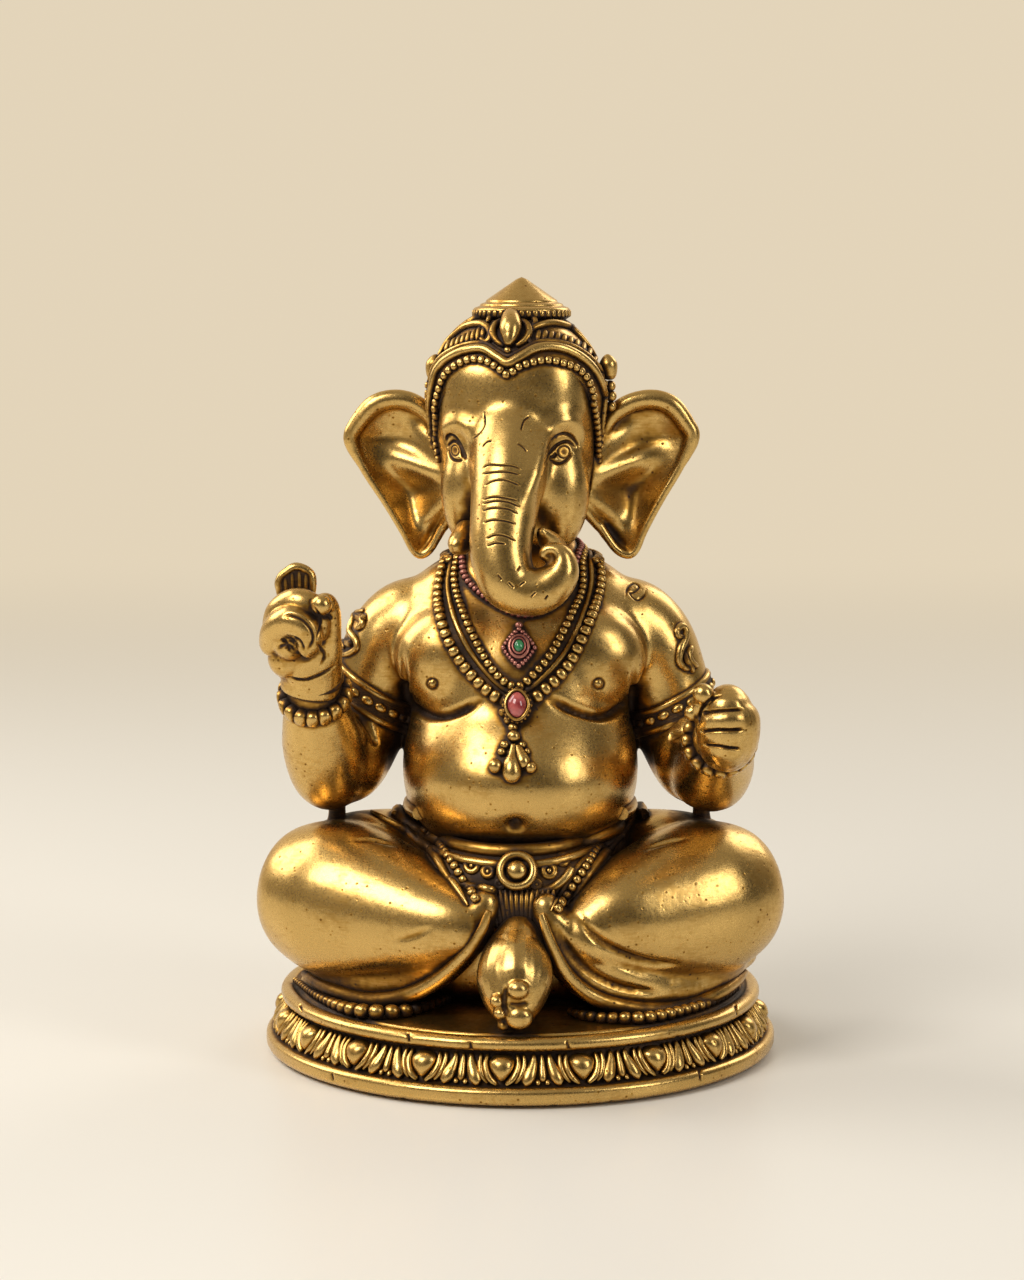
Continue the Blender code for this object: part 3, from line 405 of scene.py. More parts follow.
def distance_to(points, line):
    """Distance from points to a run of segments, and how far along the run each one is."""
    best = np.full(len(points), 1e9)
    share = np.zeros(len(points))
    line = np.asarray(line, float)
    for i, (a, b) in enumerate(zip(line[:-1], line[1:])):
        ab = b - a
        t = np.clip((points - a) @ ab / max(ab @ ab, 1e-12), 0, 1)
        d = np.linalg.norm(points - a - t[:, None] * ab, axis=1)
        nearer = d < best
        best[nearer] = d[nearer]
        share[nearer] = (i + t[nearer]) / (len(line) - 1)
    return best, share


def refine(obj, lines, reach):
    """Splits the faces close to the given lines, so that fine carving has points to move."""
    points = get_points(obj)
    near = np.zeros(len(points), bool)
    for line in lines:
        low, high = line.min(axis=0) - reach, line.max(axis=0) + reach
        inside = np.flatnonzero(((points > low) & (points < high)).all(axis=1))
        if len(inside):
            near[inside[distance_to(points[inside], line)[0] < reach]] = True
    take(obj)
    bpy.ops.object.mode_set(mode="EDIT")
    bpy.ops.mesh.select_all(action="DESELECT")
    bpy.ops.object.mode_set(mode="OBJECT")
    obj.data.vertices.foreach_set("select", near)
    obj.data.polygons.foreach_set("select", [near[list(p.vertices)].all() for p in obj.data.polygons])
    obj.data.edges.foreach_set("select", [near[list(e.vertices)].all() for e in obj.data.edges])
    bpy.ops.object.mode_set(mode="EDIT")
    bpy.ops.mesh.subdivide(number_cuts=1, smoothness=0.0)
    bpy.ops.object.mode_set(mode="OBJECT")


def ink_of(obj):
    """The layer that holds how much dark wax was rubbed into the carved places."""
    layer = obj.data.attributes.get("ink") or obj.data.attributes.new("ink", "FLOAT", "POINT")
    amount = np.empty(len(obj.data.vertices))
    layer.data.foreach_get("value", amount)
    return layer, amount


def rub_ink(obj, amount):
    layer, before = ink_of(obj)
    layer.data.foreach_set("value", np.maximum(before, amount))


def carve(obj, lines, width, depth, ends=0.15, ink=0.0):
    """Presses lines into a skin, or raises them where the depth is below zero."""
    points, normals = get_points(obj), get_normals(obj)
    move = np.zeros(len(points))
    dark = np.zeros(len(points))
    for line in lines:
        line = np.asarray(line)[:, :3]
        low, high = line.min(axis=0) - 3 * width, line.max(axis=0) + 3 * width
        near = np.flatnonzero(((points > low) & (points < high)).all(axis=1))
        if not len(near):
            continue
        gap, share = distance_to(points[near], line)
        fade = np.clip(np.minimum(share, 1 - share) / max(ends, 1e-6), 0, 1) if ends else 1.0
        cut = depth * np.exp(-((gap / width) ** 2)) * fade
        stronger = np.abs(cut) > np.abs(move[near])
        move[near[stronger]] = cut[stronger]
        dark[near] = np.maximum(dark[near], ink * np.exp(-((gap / width) ** 2)) * fade)
    set_points(obj, points - normals * move[:, None])
    if ink:
        rub_ink(obj, dark)


def press(obj, place, radius, depth, ink=0.0):
    points, normals = get_points(obj), get_normals(obj)
    away = np.linalg.norm(points - np.asarray(place[:], float), axis=1) / radius
    set_points(obj, points - normals * (depth * np.exp(-away**2))[:, None])
    if ink:
        rub_ink(obj, ink * np.exp(-((away / 0.9) ** 4)))


def neighbour_mean(obj, values):
    """The mean of each point's neighbours along the edges."""
    edges = np.empty(len(obj.data.edges) * 2, dtype=np.int64)
    obj.data.edges.foreach_get("vertices", edges)
    a, b = edges[0::2], edges[1::2]
    count = np.maximum(np.bincount(edges, minlength=len(values)), 1)

    def mean(column):
        total = np.bincount(a, column[b], len(values)) + np.bincount(b, column[a], len(values))
        return total / count
    return np.stack([mean(values[:, i]) for i in range(values.shape[1])], axis=1)


def soften(obj, passes, factor=0.5):
    apply_modifier(obj, "SMOOTH", factor=factor, iterations=passes)


# Body and arms

TORSO = (
    (29.0, 13.0, 14.0, 12.0, -4.0),
    (31.0, 18.0, 19.5, 15.0, -4.0),
    (36.0, 21.6, 24.5, 18.0, -4.0),
    (42.0, 22.8, 26.6, 20.0, -4.0),
    (47.0, 22.6, 26.0, 20.5, -3.5),
    (52.5, 21.4, 23.4, 20.0, -2.5),
    (56.5, 20.8, 20.6, 19.5, -2.0),
    (61.0, 22.0, 20.0, 19.0, -1.5),
    (67.0, 23.6, 18.6, 18.5, -1.0),
    (74.0, 24.0, 15.0, 17.0, 0.0),
    (79.0, 21.0, 12.2, 14.5, 1.0),
    (82.6, 16.4, 10.4, 11.6, 1.0),
    (86.0, 11.0, 8.6, 9.2, 1.0),
    (92.0, 9.0, 7.5, 8.0, 0.5),
)
UPPER_ARM = (
    (16.0, 2.0, 76.0, 5.0),
    (20.6, 1.6, 72.0, 8.4),
    (25.0, 1.4, 66.5, 9.2),
    (28.4, 1.4, 59.0, 8.4),
    (31.1, 0.0, 48.5, 8.1),
    (33.6, -3.0, 40.5, 6.2),
    (34.8, -4.5, 36.5, 2.5),
)
RAISED_FOREARM = (
    (-35.6, -5.0, 36.0, 2.8),
    (-36.6, -8.0, 41.0, 7.0),
    (-37.6, -12.0, 48.0, 8.0),
    (-38.4, -16.0, 54.0, 7.0),
    (-38.7, -19.5, 59.5, 5.6),
    (-39.0, -22.0, 64.0, 5.2),
    (-39.2, -23.4, 67.0, 4.4),
)
LEVEL_FOREARM = (
    (35.2, -4.0, 36.0, 2.8),
    (36.0, -7.0, 40.5, 7.2),
    (36.8, -13.0, 45.0, 8.0),
    (37.0, -19.0, 48.5, 7.0),
    (37.2, -24.5, 51.5, 5.8),
    (37.2, -28.0, 53.6, 5.0),
)
BREAST = ((10.8, -9.8, 65.2), (13.4, 9.0, 11.0))
SHOULDER = ((20.4, 1.0, 69.4), (10.4, 9.6, 10.2))
ELBOW = ((34.0, -4.6, 45.5), (8.6, 8.6, 9.6))
PEC_FOLDS = (
    ((408, 700), (416, 709), (430, 715), (446, 715), (464, 709), (484, 699)),
    ((546, 697), (560, 704), (576, 711), (597, 716), (613, 713), (628, 703)),
)
ARMPIT_FOLDS = (
    ((402, 642), (403, 665), (406, 695), (407, 726)),
    ((638, 655), (634, 676), (632, 700), (630, 732)),
)
ELBOW_FOLDS = (
    ((360, 714), (370, 730), (378, 746)),
    ((668, 738), (682, 733), (692, 722)),
)
SPINE = ((0.0, 24.0, 44.0), (0.0, 24.0, 52.0), (0.0, 24.0, 60.0), (0.0, 24.0, 68.0), (0.0, 24.0, 76.0))
SHOULDER_CURL = ((625, 599), (628, 588), (634, 583), (639, 587), (634, 592), (630, 593), (637, 600),
                 (644, 596), (646, 589))
NIPPLES = ((432, 684), (599, 684))
NIPPLE_RING_PX = 5.5
NAVEL = (515.5, 827)


def circle_px(middle, radius, count=16, tall=None):
    return [(middle[0] + radius * math.cos(a), middle[1] + (tall or radius) * math.sin(a))
            for a in np.linspace(0, 2 * math.pi, count)]


def make_body():
    parts = [level_body(TORSO, power=2.15)]
    for side in (-1, 1):
        for (x, y, z), radii in (BREAST, SHOULDER, ELBOW):
            parts.append(ball((side * x, y, z), radii))
        arm = UPPER_ARM if side > 0 else mirror(UPPER_ARM)
        parts.append(limb(arm, across=(0, 1, 0)))
    parts.append(limb(RAISED_FOREARM, across=(1, 0, 0)))
    parts.append(limb(LEVEL_FOREARM, across=(1, 0, 0)))
    body = cast("cast_body", parts, voxel=0.48, passes=80)
    tree = tree_of(body)
    carve(body, [line_on(tree, p) for p in PEC_FOLDS], width=0.8, depth=1.5, ink=0.6)
    carve(body, [line_on(tree, p) for p in ARMPIT_FOLDS], width=0.9, depth=1.1, ends=0.4, ink=0.45)
    carve(body, [line_on(tree, p) for p in ELBOW_FOLDS], width=0.8, depth=0.8, ink=0.3)
    spine = even_path([tree.find_nearest(Vector(p))[0][:] for p in SPINE], step=0.5)
    carve(body, [spine], width=2.4, depth=0.9, ends=0.3)
    press(body, seen_on(tree, *NAVEL), radius=2.6, depth=0.5)
    press(body, seen_on(tree, *NAVEL), radius=1.2, depth=2.2, ink=0.95)
    fine = [line_on(tree, circle_px(p, NIPPLE_RING_PX), step=0.2) for p in NIPPLES]
    fine.append(line_on(tree, SHOULDER_CURL, step=0.2))
    refine(body, fine, reach=1.4)
    for p in NIPPLES:
        press(body, seen_on(tree, *p), radius=0.8, depth=-0.55)
    carve(body, fine[:2], width=0.3, depth=0.3, ends=0, ink=0.7)
    carve(body, fine[2:], width=0.25, depth=0.3, ink=0.8)
    return body


# Legs, seat and foot

HIPS = (
    (0.2, 29.0, 22.0, 26.0, 2.0),
    (4.0, 31.5, 24.0, 28.5, 2.0),
    (12.0, 31.0, 24.0, 28.5, 2.0),
    (20.0, 28.0, 22.0, 25.5, 2.0),
    (27.0, 24.5, 20.0, 21.0, 1.5),
    (32.0, 20.0, 16.0, 16.0, 0.5),
    (36.0, 12.0, 8.0, 9.0, 0.0),
)
LEG = (
    (48.6, -5.0, 20.4, 3.5),
    (46.4, -6.0, 20.2, 9.0),
    (42.2, -8.4, 19.8, 13.0),
    (35.0, -12.6, 18.9, 15.2),
    (26.0, -19.0, 17.8, 13.8),
    (17.5, -26.0, 17.2, 10.4),
)
RIGHT_LEG_END = ((-10.8, -31.6, 17.0, 6.8), (-6.4, -35.4, 15.6, 2.8))
LEFT_LEG_END = ((12.4, -30.6, 15.8, 6.6), (9.2, -34.4, 14.2, 2.8))
THIGH = (
    (12.0, 8.0, 19.0, 12.0),
    (22.0, 2.0, 19.6, 14.0),
    (32.0, -5.0, 19.8, 14.4),
    (40.0, -9.0, 19.8, 12.0),
)
FOOT = (
    (-0.2, -32.0, 19.0, 2.0),
    (-0.4, -34.0, 16.6, 3.8),
    (-0.8, -36.4, 13.0, 5.6),
    (-1.0, -38.8, 9.4, 6.2),
    (-1.0, -41.0, 6.4, 5.4),
    (-0.8, -43.0, 4.0, 3.8),
    (-0.6, -44.2, 2.8, 2.4),
)
FOOT_RIDGE = ((514, 930), (516, 950), (517, 970), (518, 985))
TOES = (
    (518.0, 990.0, 0.1, 2.0, 1.7),
    (519.0, 1017.0, 0.2, 2.5, 2.2),
    (497.0, 1001.0, -0.1, 1.4, 1.3),
    (500.0, 1013.0, -0.1, 1.35, 1.2),
    (504.0, 1025.0, 0.0, 1.3, 1.1),
)
TOE_CREASES = (((507, 1003), (518, 1005), (530, 1002)), ((506, 984), (504, 1000), (507, 1016)))
LEG_FOLDS = (
    ((577, 911), (590, 930), (613, 949), (647, 962), (682, 965)),
    ((556, 922), (570, 953), (593, 974), (624, 988), (660, 993)),
)
LEG_RIDGE = ((566, 917), (580, 942), (603, 962), (636, 976), (670, 979))
LEG_CREASES = (
    ((388, 941), (410, 937), (434, 927)),
    ((351, 841), (372, 840), (398, 847)),
    ((640, 852), (664, 843), (692, 838)),
)
RIGHT_HEM = (
    (489, 911, -37.6), (480, 934, -37.2), (462, 958, -35.4), (436, 981, -32.0),
    (404, 996, -28.8), (368, 1000, -25.6), (336, 991, -20.5), (316, 982, -14.0), (304, 973, -7.0),
)
LEFT_HEM = (
    (541, 914, -37.6), (552, 946, -37.2), (570, 978, -35.6), (598, 999, -33.4),
    (640, 1009, -30.4), (682, 1007, -26.0), (716, 994, -20.6), (735, 982, -14.0), (745, 972, -7.0),
)
HEM_RADIUS = 1.6
SHIN_RADII = (2.2, 3.8, 4.8, 5.4, 5.4, 4.8, 3.8, 3.0, 2.4)
SHIN_BEHIND_HEM = 5.0
SHIN_ABOVE_HEM = 3.2
SHIN_TUCK_Y = 11.0
SHIN_TUCK_SHARE = 0.78
TOE_REACH = 1.7


def from_pixels(rows):
    """Points given by pixel and depth, with what else they carry."""
    return [(*at_depth(px, py, y), *rest) for px, py, y, *rest in rows]


def make_lap():
    parts = [level_body(HIPS, power=2.2)]
    for side in (-1, 1):
        leg = [*LEG, *LEFT_LEG_END] if side > 0 else [*mirror(LEG), *RIGHT_LEG_END]
        parts.append(limb(leg, across=(0, 0, 1), segments=40))
        parts.append(limb(THIGH if side > 0 else mirror(THIGH), across=(0, 0, 1)))
    for hem in (RIGHT_HEM, LEFT_HEM):
        rows = [(x, y + SHIN_BEHIND_HEM, z + SHIN_ABOVE_HEM, r)
                for (x, y, z), r in zip(from_pixels(hem), SHIN_RADII)]
        rows.append((rows[-1][0] * SHIN_TUCK_SHARE, SHIN_TUCK_Y, rows[-1][2], SHIN_RADII[-1]))
        parts.append(limb(rows, across=(0, 0, 1)))
    lap = cast("cast_lap", parts, voxel=0.5, passes=30)
    tree = tree_of(lap)
    carve(lap, [line_on(tree, LEG_RIDGE)], width=1.9, depth=-0.9, ends=0.35)
    tree = tree_of(lap)
    carve(lap, [line_on(tree, p) for p in LEG_FOLDS], width=0.7, depth=1.0, ends=0.2, ink=0.5)
    carve(lap, [line_on(tree, p) for p in LEG_CREASES], width=0.55, depth=0.5, ends=0.4, ink=0.4)
    return lap


def make_foot():
    parts = [limb(FOOT, across=(1, 0, 0), flat=1.14)]
    tree = tree_of(parts[0])
    for px, py, lift, wide, tall in TOES:
        parts.append(ball(seen_on(tree, px, py, lift), (wide, TOE_REACH, tall)))
    made = cast("cast_foot", parts, voxel=0.24, passes=3)
    tree = tree_of(made)
    carve(made, [line_on(tree, FOOT_RIDGE)], width=2.6, depth=-0.5, ends=0.3)
    carve(made, [line_on(tree, p, step=0.3) for p in TOE_CREASES], width=0.4, depth=0.5, ends=0.2, ink=0.7)
    return made


def roll(name, rows, radius, step=0.6):
    path = even_path(from_pixels(rows), step)
    return tube(name, path, tapered(len(path), radius, tip=0.35), sides=12)


# Head

HEAD_TURN = math.radians(-8.0)
HEAD_MIDDLE = -0.8
HEAD = (
    (86.5, 6.0, 8.0, 7.0, -3.0),
    (89.0, 9.4, 11.0, 10.0, -3.0),
    (94.0, 13.0, 12.6, 13.0, -3.0),
    (101.0, 14.6, 13.2, 14.5, -3.0),
    (109.0, 15.2, 14.0, 15.0, -3.0),
    (116.0, 15.5, 14.5, 15.2, -3.0),
    (121.0, 14.9, 13.7, 14.4, -3.0),
    (125.5, 11.5, 10.5, 11.5, -3.0),
    (128.0, 6.0, 6.0, 6.0, -3.0),
)
TRUNK = (
    (-1.0, -2.5, 116.0, 5.0),
    (-1.3, -8.8, 111.0, 7.4),
    (-1.8, -14.4, 106.0, 7.3),
    (-2.4, -19.5, 100.0, 6.5),
    (-3.2, -23.0, 93.0, 5.9),
    (-3.7, -25.6, 86.8, 5.4),
    (-2.5, -27.2, 82.0, 5.1),
    (0.9, -28.2, 79.9, 4.7),
    (4.6, -28.6, 80.4, 4.2),
    (7.4, -28.4, 83.2, 3.5),
    (7.2, -28.2, 86.2, 2.7),
    (5.2, -28.4, 86.9, 2.0),
    (4.4, -28.8, 85.6, 1.3),
)
TRUNK_ROOT_EXTRA = 0.5
TRUNK_ROOT_ROWS = 8
TRUNK_CURL_ROWS = 5
RIGHT_CHEEK = ((-10.6, -10.5, 98.0), (4.8, 6.0, 11.0))
LEFT_CHEEK = ((6.6, -11.6, 97.5), (6.8, 6.6, 12.0))
BROWS = (
    ((441, 437), (449, 428), (459, 424), (468, 429), (473, 441)),
    ((588, 440), (580, 428), (567, 421), (553, 426), (544, 440), (537, 462), (530, 488), (524, 512)),
)
RIGHT_EYE = (455.0, 450.0)
LEFT_EYE = (562.5, 451.0)
LIDS = (
    ((546, 462), (550, 453), (556, 446), (563, 442), (570, 442), (577, 448)),
    ((546, 458), (548, 448), (553, 439), (562, 434), (571, 436), (578, 444), (580, 449)),
    ((549, 458), (557, 463), (565, 461), (573, 452)),
    ((550, 458), (554, 456), (557, 453)),
    ((447, 447), (450, 443), (455, 441), (460, 447), (464, 459)),
    ((445, 442), (447, 437), (451, 435), (456, 438), (462, 448), (466, 461)),
    ((448, 449), (450, 456), (455, 460), (463, 460)),
)
IRISES = (((454.8, 450.5), 4.2, 5.4), ((564.0, 451.8), 6.2, 6.2))
TRUNK_LINES = (
    ((482, 469), (488, 465), (500, 465), (513, 466), (522, 470)),
    ((482, 474), (495, 472), (508, 472), (521, 475)),
    ((484, 486), (493, 481), (505, 480), (521, 486)),
    ((482, 500), (493, 497), (505, 498), (519, 501)),
    ((482, 504), (495, 501), (508, 502), (520, 507)),
    ((482, 511), (493, 508), (508, 509), (518, 514)),
    ((483, 523), (493, 520), (505, 521), (516, 524)),
    ((486, 539), (495, 535), (505, 536), (516, 541)),
    ((487, 546), (496, 543), (506, 544)),
    ((484, 412), (485, 424), (480, 433), (472, 439)),
    ((482, 447), (487, 442), (492, 441)),
    ((521, 431), (524, 421), (530, 416)),
    ((517, 443), (523, 447), (527, 452)),
    ((508, 582), (514, 588)),
    ((519, 586), (525, 581)),
    ((531, 597), (536, 592)),
    ((497, 574), (502, 580)),
    ((545, 600), (548, 595)),
    ((517, 571), (521, 566)),
)
TRUNK_HOLE = (549.5, 557.0)
RIGHT_TUSK = ((469, 531, -15.0, 2.6), (462, 541, -19.0, 2.5), (456, 546, -21.0, 1.9),
              (451, 549, -22.0, 0.7))
LEFT_TUSK = ((556, 549, -17.0, 2.3), (549, 541, -21.0, 2.0), (543, 534, -23.4, 1.3), (540, 529, -24.4, 0.5))


def make_head():
    parts = [level_body(HEAD, power=2.6, turn_by=HEAD_TURN, middle_x=HEAD_MIDDLE)]
    root = [(x, y, z, r + TRUNK_ROOT_EXTRA) for x, y, z, r in TRUNK[:TRUNK_ROOT_ROWS]]
    parts.append(limb(root, across=(0, 1, 0), rings=96, end=0.05))
    for cheek in (RIGHT_CHEEK, LEFT_CHEEK):
        parts.append(ball(*cheek))
    skull = cast("skull", parts, voxel=0.42, passes=110)
    trunk = limb(TRUNK[TRUNK_CURL_ROWS:], across=(0, 1, 0), rings=96, end=0.05)
    head = cast("cast_head", [skull, trunk], voxel=0.39, passes=9)
    tree = tree_of(head)
    carve(head, [line_on(tree, p) for p in BROWS], width=2.0, depth=-1.3, ends=0.25)
    for eye in (RIGHT_EYE, LEFT_EYE):
        press(head, seen_on(tree, *eye), radius=3.8, depth=0.7)
    soften(head, passes=3)
    tree = tree_of(head)
    for eye in (RIGHT_EYE, LEFT_EYE):
        press(head, seen_on(tree, *eye), radius=1.9, depth=-0.45, ink=0.34)
    press(head, seen_on(tree, *TRUNK_HOLE), radius=1.2, depth=1.0, ink=0.5)
    tree = tree_of(head)
    fine = [line_on(tree, p, step=0.2) for p in TRUNK_LINES]
    lids = [line_on(tree, p, step=0.2) for p in LIDS]
    irises = [line_on(tree, circle_px(middle, wide, 24, tall), step=0.2) for middle, wide, tall in IRISES]
    for _ in range(2):
        refine(head, fine + lids + irises, reach=0.9)
    carve(head, fine, width=0.17, depth=0.24, ends=0.12, ink=0.95)
    carve(head, lids, width=0.28, depth=0.45, ends=0.1, ink=0.95)
    carve(head, irises, width=0.18, depth=0.16, ends=0, ink=0.8)
    for middle, _, _ in IRISES:
        press(head, seen_on(tree, *middle), radius=0.75, depth=0.2, ink=0.55)
    return head


def make_tusk(name, rows):
    return cast(name, [limb(from_pixels(rows), across=(1, 0, 0), end=0.1)], voxel=0.2, passes=3)


# Ears

RIGHT_EAR_RIM = (
    (440, 440), (431, 417), (414, 403), (394, 399), (374, 405), (357, 424), (351, 441), (365, 470),
    (386, 502), (404, 532), (413, 549), (421, 555), (431, 548), (442, 528),
)
RIGHT_EAR_ROOT = ((448, 436), (449, 460), (450, 484), (453, 502), (456, 514))
LEFT_EAR_RIM = (
    (600, 440), (610, 418), (628, 404), (651, 399), (671, 405), (686, 423), (692, 438), (680, 466),
    (660, 500), (644, 530), (636, 549), (628, 555), (615, 548), (599, 524),
)
LEFT_EAR_ROOT = ((592, 436), (591, 460), (589, 484), (585, 502), (582, 512))
EAR_ROOT_Y = -3.0
EAR_RIM_Y = 0.5
EAR_DISH = 4.4
EAR_FOLD = 1.3
EAR_WALL = 1.5
EAR_RIM_RADIUS = 1.25
EAR_ENDS = (0.02, 0.98)
EAR_DISH_SKEW = 1.25
EAR_FOLD_SKEW = 0.9
EAR_FOLD_WAVES = 26.0
EAR_FOLD_SLANT = 2.2
EAR_LIP_AT = (0, 0.12, 0.3, 0.44, 0.52, 0.8, 1)
EAR_LIP_SIZES = (0.9, 1.5, 1.6, 1.2, 0.75, 0.7, 0.7)


def make_ear(name, rim, root):
    bpy.ops.object.select_all(action="DESELECT")
    bpy.ops.mesh.primitive_grid_add(x_subdivisions=90, y_subdivisions=40, size=2.0)
    ear = bpy.context.active_object
    points = get_points(ear)
    along, out = (points[:, 0] + 1) / 2, (points[:, 1] + 1) / 2
    rim_path = np.array([at_depth(px, py, EAR_RIM_Y)[:] for px, py in rim])
    root_path = np.array([at_depth(px, py, EAR_ROOT_Y)[:] for px, py in root])
    place = spline(root_path, along) * (1 - out)[:, None] + spline(rim_path, along) * out[:, None]
    ends = np.sin(math.pi * np.clip(along, *EAR_ENDS)) ** 0.5
    dish = EAR_DISH * np.sin(math.pi * out ** EAR_DISH_SKEW) * ends
    waves = np.sin(along * EAR_FOLD_WAVES - out * EAR_FOLD_SLANT)
    folds = EAR_FOLD * waves * np.sin(math.pi * out ** EAR_FOLD_SKEW)
    fade_in, fade_out = np.clip(along * 3 - 0.6, 0, 1), np.clip(3.4 - along * 3.4, 0, 1)
    place[:, 1] += dish + folds * fade_in * fade_out
    set_points(ear, place)
    apply_modifier(ear, "SOLIDIFY", thickness=EAR_WALL, offset=0.0)
    lip = even_path(rim_path, step=0.6)
    radii = EAR_RIM_RADIUS * np.interp(np.linspace(0, 1, len(lip)), EAR_LIP_AT, EAR_LIP_SIZES)
    return cast(name, [ear, tube("ear_lip", lip, radii, sides=12)], voxel=0.32, passes=5)


# Crown

CAP = (
    (99.5, 15.2, 13.4, 15.8, -3.0),
    (104.0, 15.8, 14.0, 16.4, -3.0),
    (110.0, 16.2, 14.5, 16.8, -3.0),
    (115.0, 16.6, 14.8, 16.8, -3.0),
    (119.5, 16.2, 14.2, 16.2, -3.0),
    (123.5, 14.2, 12.2, 14.2, -3.0),
    (127.0, 11.2, 9.8, 11.0, -3.0),
    (129.6, 7.6, 7.0, 7.6, -3.0),
)
FACE_EDGE_POINT = (0.0, -13.6, 118.0)
FACE_EDGE_NORMAL = Vector((0.0, -0.80, -0.60)).normalized()
BROW_ROLL = (
    (433, 452), (431, 430), (431, 405), (434, 385), (438, 371), (448, 360), (465, 352), (483, 350),
    (497, 358), (508, 364), (520, 358), (535, 350), (550, 348), (566, 351), (581, 359), (593, 371),
    (601, 388), (604, 407), (604, 430), (602, 452),
)
BROW_LINE = (
    (428, 430), (427, 405), (430, 382), (435, 366), (446, 354), (464, 346), (484, 344), (498, 352),
    (508, 357), (520, 352), (535, 344), (550, 342), (567, 345), (583, 353), (597, 366), (606, 384),
    (609, 405), (608, 430),
)
TEMPLE_BEADS = (
    (440, 459), (437, 437), (436, 415), (439, 395), (446, 376), (457, 366), (472, 360), (487, 362),
    (499, 369), (508, 375), (518, 368), (533, 363), (548, 361), (563, 364), (576, 369), (586, 379),
    (592, 396), (596, 416), (598, 437), (598, 459),
)
OUTER_BEADS = (
    ((425, 385), (423, 405), (424, 428), (427, 448)),
    ((612, 383), (614, 405), (613, 428), (609, 448)),
)
ARCHES = (
    ((440, 356), (450, 341), (466, 328), (480, 325), (489, 330), (491, 338), (486, 343), (481, 339)),
    ((531, 344), (527, 337), (532, 330), (541, 326), (553, 324), (569, 328), (585, 337), (600, 354)),
    ((447, 338), (462, 324), (478, 316), (492, 313)),
    ((528, 313), (546, 313), (566, 318), (583, 327), (598, 341)),
)
FLUTES = tuple(
    [((446 + 5.2 * i, 352 - 1.9 * i), (451 + 4.9 * i, 341 - 2.2 * i)) for i in range(8)]
    + [((537 + 6.2 * i, 342 + 0.28 * i * i), (539 + 6.4 * i, 331 + 0.26 * i * i)) for i in range(10)]
)
JEWEL_BUD = ((511, 312, 0.5), (511, 320, 1.5), (511, 330, 2.1), (510, 340, 1.5), (508, 348, 0.5))
JEWEL_LIFT = 0.9
JEWEL_FOOT = (508, 352)
JEWEL_FOOT_RADIUS = 0.7
JEWEL_LEAVES = (
    ((503, 321), (496, 326), (493, 334), (497, 342), (504, 347)),
    ((519, 321), (526, 325), (529, 333), (525, 341), (516, 347)),
    ((524, 318), (531, 318), (535, 323), (532, 328)),
    ((497, 318), (491, 319), (488, 324)),
)
ROSETTES = (
    ("right", ((436, 354, 0.5), (435, 363, 1.7), (434, 374, 1.5), (434, 380, 0.8)),
     ((432, 386, 1.1), (430, 396, 1.1), (430, 406, 1.0))),
    ("left", ((607, 354, 0.5), (608, 363, 1.7), (609, 374, 1.5), (609, 380, 0.8)),
     ((610, 386, 1.1), (611, 396, 1.1), (611, 406, 1.0))),
)
ROSETTE_Y = -3.0
NAPE_ROWS = (102.0, 104.4, 109.6)
NAPE_MIDDLE_Y = 2.0
NAPE_TURNS = (math.radians(-6), math.radians(186))
BEAD_STEP = 1.42
BEAD_SIZE = 0.74


def round_back(tree, z, count):
    """Points round the back of the crown at one height."""
    points = []
    for turn in np.linspace(*NAPE_TURNS, count):
        out = Vector((math.cos(turn), math.sin(turn), 0.0))
        points.append(tree.ray_cast(Vector((HEAD_MIDDLE, NAPE_MIDDLE_Y, z)), out)[0][:])
    return points


